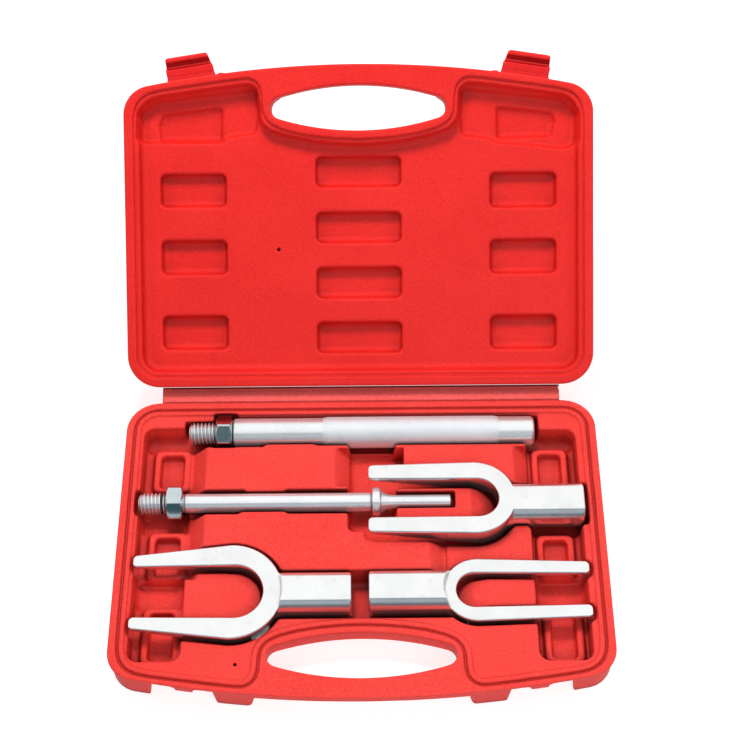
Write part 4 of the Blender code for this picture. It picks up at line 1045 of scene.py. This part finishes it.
def build_adapter():
    angles = around(120)
    gap = (RING_X - 0.9, RING_X + 0.9)
    rows = threaded_end(angles, ADAPTER_X0, ADAPTER_SHOULDER, ADAPTER_CREST_R, gap)
    rows += [
        (ADAPTER_SHOULDER, THREAD_ROOT),
        (ADAPTER_SHOULDER + 0.3, THREAD_ROOT + 0.1),
        (ADAPTER_SHOULDER + 1.0, ADAPTER_R - 0.15),
        (ADAPTER_SHOULDER + 1.8, ADAPTER_R),
    ]
    rows += [(z, ADAPTER_R) for z in np.linspace(-126, 3.0, 24)]
    # the bar narrows where it meets the collar
    neck = [(5.0, 0.02), (6.2, 0.15), (7.2, 0.5), (7.9, 0.85), (8.0, 0.6)]
    rows += [(z, ADAPTER_R - less) for z, less in neck]
    rows += [(z, COLLAR_R - less) for z, less in COLLAR_STEPS]
    # the collar flares down to the shank
    for i in range(1, 22):
        part = i / 21
        radius = SHANK_R + (COLLAR_R - 1.5 - SHANK_R) * (1 - part) ** 2.3
        rows.append((14.0 + 10.0 * part, radius))
    rows += [(z, SHANK_R) for z in np.linspace(25.5, ADAPTER_X1 - 1.6, 10)]
    end_steps = [(0.9, 0.06), (0.45, 0.3), (0.12, 0.75), (0, 1.3)]
    rows += [(ADAPTER_X1 - before, SHANK_R - less) for before, less in end_steps]
    rows += [(ADAPTER_X1, 2.0), (ADAPTER_X1, 0.0)]
    obj = lathe("adapter_bar", rows, angles)
    obj.data.transform(tool_place(0, ADAPTER_FORE))
    return sharpen(obj, 55)


def build_nut(name, shoulder, fore, turn):
    """A hexagon with both faces turned to a 30 degree chamfer, and a threaded bore."""
    half_t = NUT_T / 2
    flat_r = NUT_AF / 2
    face_r = flat_r - 1.3
    angles = around(360)
    sixth = math.pi / 6
    hexagon = flat_r / np.cos(((angles + sixth) % (math.pi / 3)) - sixth)
    hexagon = np.minimum(hexagon, flat_r / math.cos(sixth) - 0.35)  # blunted corners

    def chamfer(radius):
        return half_t - np.maximum(radius - face_r, 0) * math.tan(math.radians(30))

    edge = chamfer(hexagon)
    # one face, from the bore out and down to the flats
    face = [(half_t, NUT_BORE + 1.1), (half_t, face_r - 0.4), (half_t - 0.02, face_r)]
    for part in (0.25, 0.5, 0.75, 0.93):
        radius = face_r + (hexagon - face_r) * part
        face.append((chamfer(radius), radius))
    face += [(edge - 0.05, hexagon - 0.04), (edge - 0.22, hexagon)]

    rows = [(-z, radius) for z, radius in face]
    rows += [(part * (edge - 0.22), hexagon) for part in (-0.6, -0.2, 0.2, 0.6)]
    rows += reversed(face)
    rows.append((half_t - 1.0, NUT_BORE))
    for i in range(37):
        z = (half_t - 1.2) - (2 * half_t - 2.4) * i / 36
        ridge = 0.5 + 0.5 * np.cos((z / PITCH) * math.tau - angles)
        rows.append((z, NUT_BORE + 0.35 * ridge))
    rows.append((-half_t + 1.0, NUT_BORE))
    rows.append(rows[0])
    obj = lathe(name, rows, angles)
    obj.data.transform(tool_place(shoulder - NUT_GAP - NUT_T + NUT_T / 2, fore, turn))
    return sharpen(obj, 24)


def build_ring():
    """The rubber ring in the adapter's thread."""
    count = 96
    size = 20
    vertices = []
    for i in range(count):
        turn = math.tau * i / count
        for j in range(size):
            around_section = math.tau * j / size
            radius = 7.42 + 0.66 * math.cos(around_section) + 0.02 * math.sin(5 * turn)
            height = 0.62 * math.sin(around_section)
            vertices.append((radius * math.cos(turn), radius * math.sin(turn), height))
    i = np.arange(count)[:, None]
    j = np.arange(size)[None, :]
    # wound from ring to ring first, so that the faces look outward
    start = i * size
    end = ((i + 1) % count) * size
    next_j = (j + 1) % size
    corners = [start + j, end + j, end + next_j, start + next_j]
    quads = np.stack(corners, -1).reshape(-1, 4)
    obj = make_mesh("rubber_ring", np.array(vertices) * MM, quads)
    obj.data.transform(tool_place(RING_X, ADAPTER_FORE))
    return obj


# ------------------------------------------------------------------ forks
def build_fork(name):
    """A flat-topped blade, wedge shaped below, whose yoke runs into a bored shank."""
    fork = FORKS[name]
    sign = fork.points
    top = RIM_Z + fork.top
    axis_y = REAR_Y - fork.fore
    grid = Grid(
        (min(fork.tip_x, fork.shank_x) - 2.5, axis_y - fork.yoke_half - 3, AXIS_Z - SOCKET_R - 1.6),
        (
            max(fork.tip_x, fork.shank_x) + 2.5,
            axis_y + fork.yoke_half + 3,
            max(top, AXIS_Z + SOCKET_R) + 1.6,
        ),
        FORK_STEP,
    )
    plan = polygon(grid, fork_outline(fork))
    slope = (fork.yoke_t - fork.tip_t) / abs(fork.tip_x - fork.yoke_x)
    bottom = top - fork.yoke_t + slope * np.clip(sign * (grid.X - fork.yoke_x), 0, None)
    under = (bottom - grid.Z) / math.hypot(1, slope)
    # the sides lean in a little towards the underside
    sides = plan + (top - grid.Z) * 0.035
    blade = overlap(overlap(sides, grid.Z - top, soft=1.8), under, soft=3.2)

    from_axis = np.hypot(grid.Y - axis_y, grid.Z - AXIS_Z)
    low, high = sorted((fork.yoke_x + sign * 8.0, fork.shank_x))
    ends = np.maximum(low - grid.X, grid.X - high)
    shank = overlap(from_axis - SOCKET_R, np.abs(grid.Z - AXIS_Z) - SOCKET_FLAT, soft=1.6)
    shank = overlap(shank, ends, soft=2.4)
    shank = cut(shank, plan + 0.2, soft=0.8)
    # the fillet between them is tight at the top and wide below
    fillet_top = min(top, AXIS_Z + SOCKET_FLAT) - 1.5
    fillet = 0.7 + 4.3 * np.clip((fillet_top - grid.Z) / 7.0, 0, 1)
    solid = union(blade, shank, fillet)

    beyond = -sign * (grid.X - fork.shank_x)  # outward from the free end
    bore = np.maximum(from_axis - SOCKET_BORE_R, -(beyond + SOCKET_BORE_L))
    mouth = (from_axis - (SOCKET_BORE_R + 1.7) - beyond) * 0.7071  # 45 degree countersink
    bore = np.minimum(bore, np.maximum(mouth, -(beyond + 3.0)))
    solid = cut(solid, bore, soft=0.5)
    obj = surface(solid, grid, name.replace("_fork", "_pickle_fork"))
    return thin(obj, FORK_TRIANGLES)


# ------------------------------------------------------------------ shader helpers
def new_material(name):
    material = bpy.data.materials.new(name)
    material.use_nodes = True
    tree = material.node_tree
    return material, tree, tree.nodes["Principled BSDF"]


def object_coords(tree):
    return tree.nodes.new("ShaderNodeTexCoord").outputs["Object"]


def noise(tree, coords, scale, detail=3.0, rough=0.5, stretch=None):
    node = tree.nodes.new("ShaderNodeTexNoise")
    node.inputs["Scale"].default_value = scale
    node.inputs["Detail"].default_value = detail
    node.inputs["Roughness"].default_value = rough
    if stretch:
        mapping = tree.nodes.new("ShaderNodeMapping")
        mapping.inputs["Scale"].default_value = stretch
        tree.links.new(coords, mapping.inputs["Vector"])
        coords = mapping.outputs["Vector"]
    tree.links.new(coords, node.inputs["Vector"])
    return node.outputs["Fac"]


def ramp(tree, factor, stops):
    """stops: (position, rgb) pairs."""
    node = tree.nodes.new("ShaderNodeValToRGB")
    elements = node.color_ramp.elements
    while len(elements) < len(stops):
        elements.new(0.5)
    for element, (position, colour) in zip(elements, stops):
        element.position = position
        element.color = (*colour, 1)
    tree.links.new(factor, node.inputs["Fac"])
    return node.outputs["Color"]


def grey(value):
    return (value, value, value)


def calculate(tree, operation, first, second, clamp=False):
    """first is a socket; second is a socket or a number."""
    node = tree.nodes.new("ShaderNodeMath")
    node.operation = operation
    node.use_clamp = clamp
    tree.links.new(first, node.inputs[0])
    if isinstance(second, float):
        node.inputs[1].default_value = second
    else:
        tree.links.new(second, node.inputs[1])
    return node.outputs[0]


def multiply(tree, colour, by):
    node = tree.nodes.new("ShaderNodeMix")
    node.data_type = "RGBA"
    node.blend_type = "MULTIPLY"
    node.inputs["Factor"].default_value = 1.0
    tree.links.new(colour, node.inputs["A"])
    tree.links.new(by, node.inputs["B"])
    return node.outputs["Result"]


def paint_recess_shade(tree, colour, *, samples, distance, stops):
    """Multiplies the colour by a ramp over ambient occlusion: painted shade, dark where it is
    enclosed.
    """
    node = tree.nodes.new("ShaderNodeAmbientOcclusion")
    node.samples = samples
    node.inputs["Distance"].default_value = distance
    return multiply(tree, colour, ramp(tree, node.outputs["AO"], stops))


def vary_roughness(tree, shader, factor, low, high):
    node = tree.nodes.new("ShaderNodeMapRange")
    node.inputs["To Min"].default_value = low
    node.inputs["To Max"].default_value = high
    tree.links.new(factor, node.inputs["Value"])
    tree.links.new(node.outputs["Result"], shader.inputs["Roughness"])


def bump_layers(tree, shader, layers):
    """layers: (height socket, distance in metres, strength), each on top of the last."""
    normal = None
    for height, distance, strength in layers:
        node = tree.nodes.new("ShaderNodeBump")
        node.inputs["Distance"].default_value = distance
        node.inputs["Strength"].default_value = strength
        tree.links.new(height, node.inputs["Height"])
        if normal is not None:
            tree.links.new(normal, node.inputs["Normal"])
        normal = node.outputs["Normal"]
    tree.links.new(normal, shader.inputs["Normal"])


# ------------------------------------------------------------------ materials
def plastic(name, base, dark, rough=0.42):
    """Moulded plastic: fine grain, slow waviness, cloudy pigment, a painted highlight on convex
    edges and painted shade in its recesses.
    """
    material, tree, shader = new_material(name)
    coords = object_coords(tree)
    cloud = noise(tree, coords, scale=18.0, detail=4.0, rough=0.55)
    fine = noise(tree, coords, scale=2600.0, detail=2.0, rough=0.6)
    medium = noise(tree, coords, scale=700.0, detail=3.0, rough=0.6)
    wave = noise(tree, coords, scale=26.0, detail=1.0, rough=0.4)
    pigment = ramp(tree, cloud, [(0.30, dark), (0.70, base)])

    # Painted highlight: convex edges are paled towards a pinker red.
    pointiness = tree.nodes.new("ShaderNodeNewGeometry").outputs["Pointiness"]
    edge = calculate(tree, "SUBTRACT", pointiness, 0.52, clamp=True)
    edge = calculate(tree, "MULTIPLY", edge, 6.0, clamp=True)
    mix = tree.nodes.new("ShaderNodeMix")
    mix.data_type = "RGBA"
    tree.links.new(edge, mix.inputs["Factor"])
    tree.links.new(pigment, mix.inputs["A"])
    red, green, blue = base
    edge_highlight_colour = (min(1, red * 1.05 + 0.03), green * 1.5 + 0.02, blue * 1.5 + 0.02, 1)
    mix.inputs["B"].default_value = edge_highlight_colour

    grains = noise(tree, coords, scale=760.0, detail=2.0, rough=0.72)
    specks = ramp(
        tree, grains, [(0.28, (0.79, 0.70, 0.70)), (0.50, grey(1.0)), (0.72, (1.0, 1.6, 1.6))]
    )
    colour = multiply(tree, mix.outputs["Result"], specks)
    # Painted shade: the colour is darkened where the surface is enclosed, in recesses, creases and
    # gaps.
    colour = paint_recess_shade(
        tree, colour, samples=8, distance=0.014,
        stops=[
            (0.0, (0.10, 0.07, 0.07)), (0.35, (0.32, 0.27, 0.27)),
            (0.64, (0.72, 0.68, 0.68)), (0.88, grey(1.0)),
        ],
    )
    tree.links.new(colour, shader.inputs["Base Color"])
    vary_roughness(tree, shader, medium, low=rough - 0.05, high=rough + 0.10)
    layers = [(wave, 0.00035, 0.35), (medium, 0.00012, 0.55), (fine, 0.00008, 0.6)]
    bump_layers(tree, shader, layers)
    shader.inputs["Specular IOR Level"].default_value = 0.42
    shader.inputs["Subsurface Radius"].default_value = (0.004, 0.001, 0.001)
    return material


def steel(name, colour, *, rough, grain, metal, scale=900.0, stretch=None, speck=0.0, tint=None):
    """Satin steel with fine grain, cloudy colour, scratches and painted shade in its recesses.

    grain: height of the fine bump; scale, stretch: of its noise; speck: how dark the specks are;
    tint: the clouds' second colour."""
    material, tree, shader = new_material(name)
    coords = object_coords(tree)
    cloud = noise(tree, coords, scale=40.0, detail=4.0, rough=0.6)
    fine = noise(tree, coords, scale, detail=3.0, rough=0.6, stretch=stretch)
    marks = noise(tree, coords, scale=150.0, detail=2.0, rough=0.5)
    tint = tint or tuple(channel * 0.93 for channel in colour)
    shade = ramp(tree, cloud, [(0.32, tint), (0.68, colour)])
    if speck:
        dark = (1 - speck, 1 - speck, 1 - speck * 0.9)
        specks = ramp(tree, marks, [(0.0, grey(1)), (0.60, grey(1)), (0.72, dark)])
        shade = multiply(tree, shade, specks)
    # Painted shade: the colour is darkened where the surface is enclosed.
    shade = paint_recess_shade(
        tree, shade, samples=6, distance=0.004,
        stops=[
            (0.0, (0.06, 0.04, 0.04)), (0.30, (0.30, 0.26, 0.26)),
            (0.62, (0.86, 0.84, 0.84)), (0.8, grey(1.0)),
        ],
    )
    tree.links.new(shade, shader.inputs["Base Color"])
    shader.inputs["Metallic"].default_value = metal
    vary_roughness(tree, shader, fine, low=rough - 0.05, high=rough + 0.07)
    # scratches are a narrow band of a stretched noise
    streaks = noise(tree, coords, scale=260.0, detail=2.0, rough=0.5, stretch=(1.0, 0.04, 0.4))
    scratches = ramp(
        tree, streaks,
        [(0.0, grey(0)), (0.66, grey(0)), (0.70, grey(1)), (0.74, grey(0))],
    )
    layers = [(marks, 0.00005, 0.4), (fine, grain, 0.6), (scratches, 0.00002, 0.5)]
    bump_layers(tree, shader, layers)
    return material


def rubber(name):
    material, tree, shader = new_material(name)
    fine = noise(tree, object_coords(tree), scale=1500.0)
    colour = ramp(tree, fine, [(0.3, (0.012, 0.012, 0.013)), (0.7, (0.03, 0.03, 0.032))])
    tree.links.new(colour, shader.inputs["Base Color"])
    shader.inputs["Roughness"].default_value = 0.62
    bump_layers(tree, shader, [(fine, 0.00004, 0.5)])
    return material


base_red = plastic("moulded_red_base", base=(0.82, 0.045, 0.036), dark=(0.76, 0.036, 0.028))
lid_red = plastic("moulded_red_lid", base=(0.78, 0.020, 0.016), dark=(0.72, 0.015, 0.012))
# Painted light: a brighter, paler copy of the case's red, for the strip that lies in the lid's
# shadow.
strip_red_painted_lit = plastic(
    "moulded_red_strip", base=(0.95, 0.110, 0.100), dark=(0.92, 0.095, 0.085), rough=0.36
)
latch_red = plastic(
    "moulded_red_latch", base=(0.74, 0.012, 0.012), dark=(0.68, 0.008, 0.008), rough=0.34
)
fork_steel = steel(
    "forged_plated_steel", (0.90, 0.91, 0.91),
    rough=0.22, scale=800.0, grain=0.000012, speck=0.05, metal=0.96,
)
bar_steel = steel(
    "plated_bar_steel", (0.84, 0.87, 0.88),
    rough=0.28, grain=0.00002, stretch=(0.06, 1, 1), speck=0.03, metal=0.74,
)
knurl_steel = steel(
    "plated_bar_blasted", (0.80, 0.83, 0.86), rough=0.42, grain=0.00022, speck=0.07, metal=0.50
)
adapter_steel = steel(
    "plated_adapter_steel", (0.86, 0.88, 0.90),
    rough=0.24, grain=0.00002, stretch=(0.05, 1, 1), metal=0.74,
)
nut_steel = steel(
    "bright_nut_steel", (0.62, 0.70, 0.72),
    rough=0.12, scale=500.0, grain=0.00001, tint=(0.50, 0.60, 0.62), metal=1.0,
)
ring_rubber = rubber("ring_rubber_black")


# ------------------------------------------------------------------ build and hang on the frame
def hang(obj, material, body, replaced=None):
    """Gives the object its material and ties it to a frame body, whose piece it replaces."""
    obj.data.materials.clear()
    obj.data.materials.append(material)
    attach(obj, body)
    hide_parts(replaced or body)


def assign_knurl(handle):
    """Puts the blasted steel on the handle's knurled faces."""
    mesh = handle.data
    mesh.materials.append(knurl_steel)
    centres = np.zeros(len(mesh.polygons) * 3, F32)
    mesh.polygons.foreach_get("center", centres)
    x = centres.reshape(-1, 3)[:, 0] / MM
    knurled = (x > KNURL_X0 - 0.3) & (x < KNURL_X1 + 0.3)
    mesh.polygons.foreach_set("material_index", knurled.astype(np.int32))


hang(build_base(), base_red, "case_base")
hang(build_lid(), lid_red, "case_lid")
hang(build_strip(), strip_red_painted_lit, "hinge_strip")
for tag, side in (("left", -1), ("right", 1)):
    latch = build_latch(f"latch_plate_{tag}", side)
    hang(latch, latch_red, f"latch_{tag}")
handle = build_handle()
hang(handle, bar_steel, "striking_handle")
assign_knurl(handle)
nut = build_nut("handle_hex_nut", HANDLE_SHOULDER, HANDLE_FORE, turn=34.0)
hang(nut, nut_steel, "handle_nut")
hang(build_adapter(), adapter_steel, "air_hammer_adapter")
nut = build_nut("adapter_hex_nut", ADAPTER_SHOULDER, ADAPTER_FORE, turn=-3.0)
hang(nut, nut_steel, "adapter_nut")
hang(build_ring(), ring_rubber, "air_hammer_adapter", replaced="thread_ring")
for name in FORKS:
    hang(build_fork(name), fork_steel, name)


# ------------------------------------------------------------------ floor, light, camera
# Sky colours by angle from straight up, in degrees: positive towards the front, negative to the rear
SKY = [
    (-115, grey(0.50)), (-88, (0.55, 0.56, 0.56)), (-72, grey(0.95)), (-60, grey(1.0)),
    (29, grey(1.0)), (33, (0.06, 0.12, 0.13)), (36, (0.08, 0.14, 0.15)),
    (42, (0.26, 0.32, 0.35)), (60, (0.36, 0.42, 0.47)), (75, (0.34, 0.38, 0.43)),
    (79, (0.04, 0.10, 0.12)), (92, (0.04, 0.10, 0.12)), (110, (0.30, 0.31, 0.32)),
]
SKY_STRENGTH = 0.46
SKY_GLOSSY_EXTRA = 0.62  # added for reflections


def add_floor():
    bpy.ops.mesh.primitive_plane_add(size=6.0, location=(0, 0, -0.0004))
    floor = bpy.context.object
    floor.name = "floor"
    material, _, shader = new_material("pale_floor")
    shader.inputs["Base Color"].default_value = (0.42, 0.42, 0.42, 1)
    shader.inputs["Emission Color"].default_value = (1.0, 1.0, 1.0, 1)
    shader.inputs["Emission Strength"].default_value = 0.78
    shader.inputs["Roughness"].default_value = 0.9
    floor.data.materials.append(material)
    floor.visible_glossy = False


def add_world():
    world = bpy.data.worlds.new("studio")
    bpy.context.scene.world = world
    world.use_nodes = True
    tree = world.node_tree
    background = tree.nodes["Background"]
    coords = tree.nodes.new("ShaderNodeTexCoord")
    split = tree.nodes.new("ShaderNodeSeparateXYZ")
    tree.links.new(coords.outputs["Generated"], split.inputs["Vector"])
    forward = calculate(tree, "MULTIPLY", split.outputs["Y"], -1.0)
    angle = calculate(tree, "ARCTAN2", forward, split.outputs["Z"])
    turn = calculate(tree, "MULTIPLY", angle, 1 / math.tau)
    turn = calculate(tree, "ADD", turn, 0.5)
    sky = ramp(tree, turn, [(degrees / 360 + 0.5, colour) for degrees, colour in SKY])
    tree.links.new(sky, background.inputs["Color"])
    glossy = tree.nodes.new("ShaderNodeLightPath").outputs["Is Glossy Ray"]
    strength = calculate(tree, "MULTIPLY", glossy, SKY_GLOSSY_EXTRA)
    strength = calculate(tree, "ADD", strength, SKY_STRENGTH)
    tree.links.new(strength, background.inputs["Strength"])


def add_area_light(name, *, place, target, size, power):
    light = bpy.data.lights.new(name, "AREA")
    light.energy = power
    light.size = size
    obj = link(name, light)
    obj.location = place
    aim = Vector(target) - Vector(place)
    obj.rotation_euler = aim.to_track_quat("-Z", "Y").to_euler()
    obj.visible_glossy = False


def add_camera(*, target, elevation, distance, roll, lens):
    """Looks at the target from the front, raised by `elevation` degrees."""
    data = bpy.data.cameras.new("camera")
    camera = link("camera", data)
    data.sensor_width = 36.0
    data.lens = lens
    data.clip_start = 0.05
    data.clip_end = 20.0
    raised = math.radians(elevation)
    back = Vector((0, -math.cos(raised), math.sin(raised)))
    camera.location = Vector(target) + back * distance
    aim = (-back).to_track_quat("-Z", "Y").to_matrix().to_4x4()
    camera.rotation_euler = (aim @ Matrix.Rotation(math.radians(roll), 4, "Z")).to_euler()
    bpy.context.scene.camera = camera


add_floor()
bpy.context.scene.view_settings.view_transform = "Standard"
add_world()
add_area_light("key", place=(-0.12, 0.52, 1.42), target=(0, 0.08, 0.03), size=0.32, power=16.3)
add_area_light("front_fill", place=(0.3, -0.9, 0.9), target=(0, 0.1, 0.05), size=0.6, power=6.5)
add_camera(
    target=(0.0109, 0.1458, 0.027), elevation=55.60, distance=1.2967, roll=-0.498, lens=80.5056
)
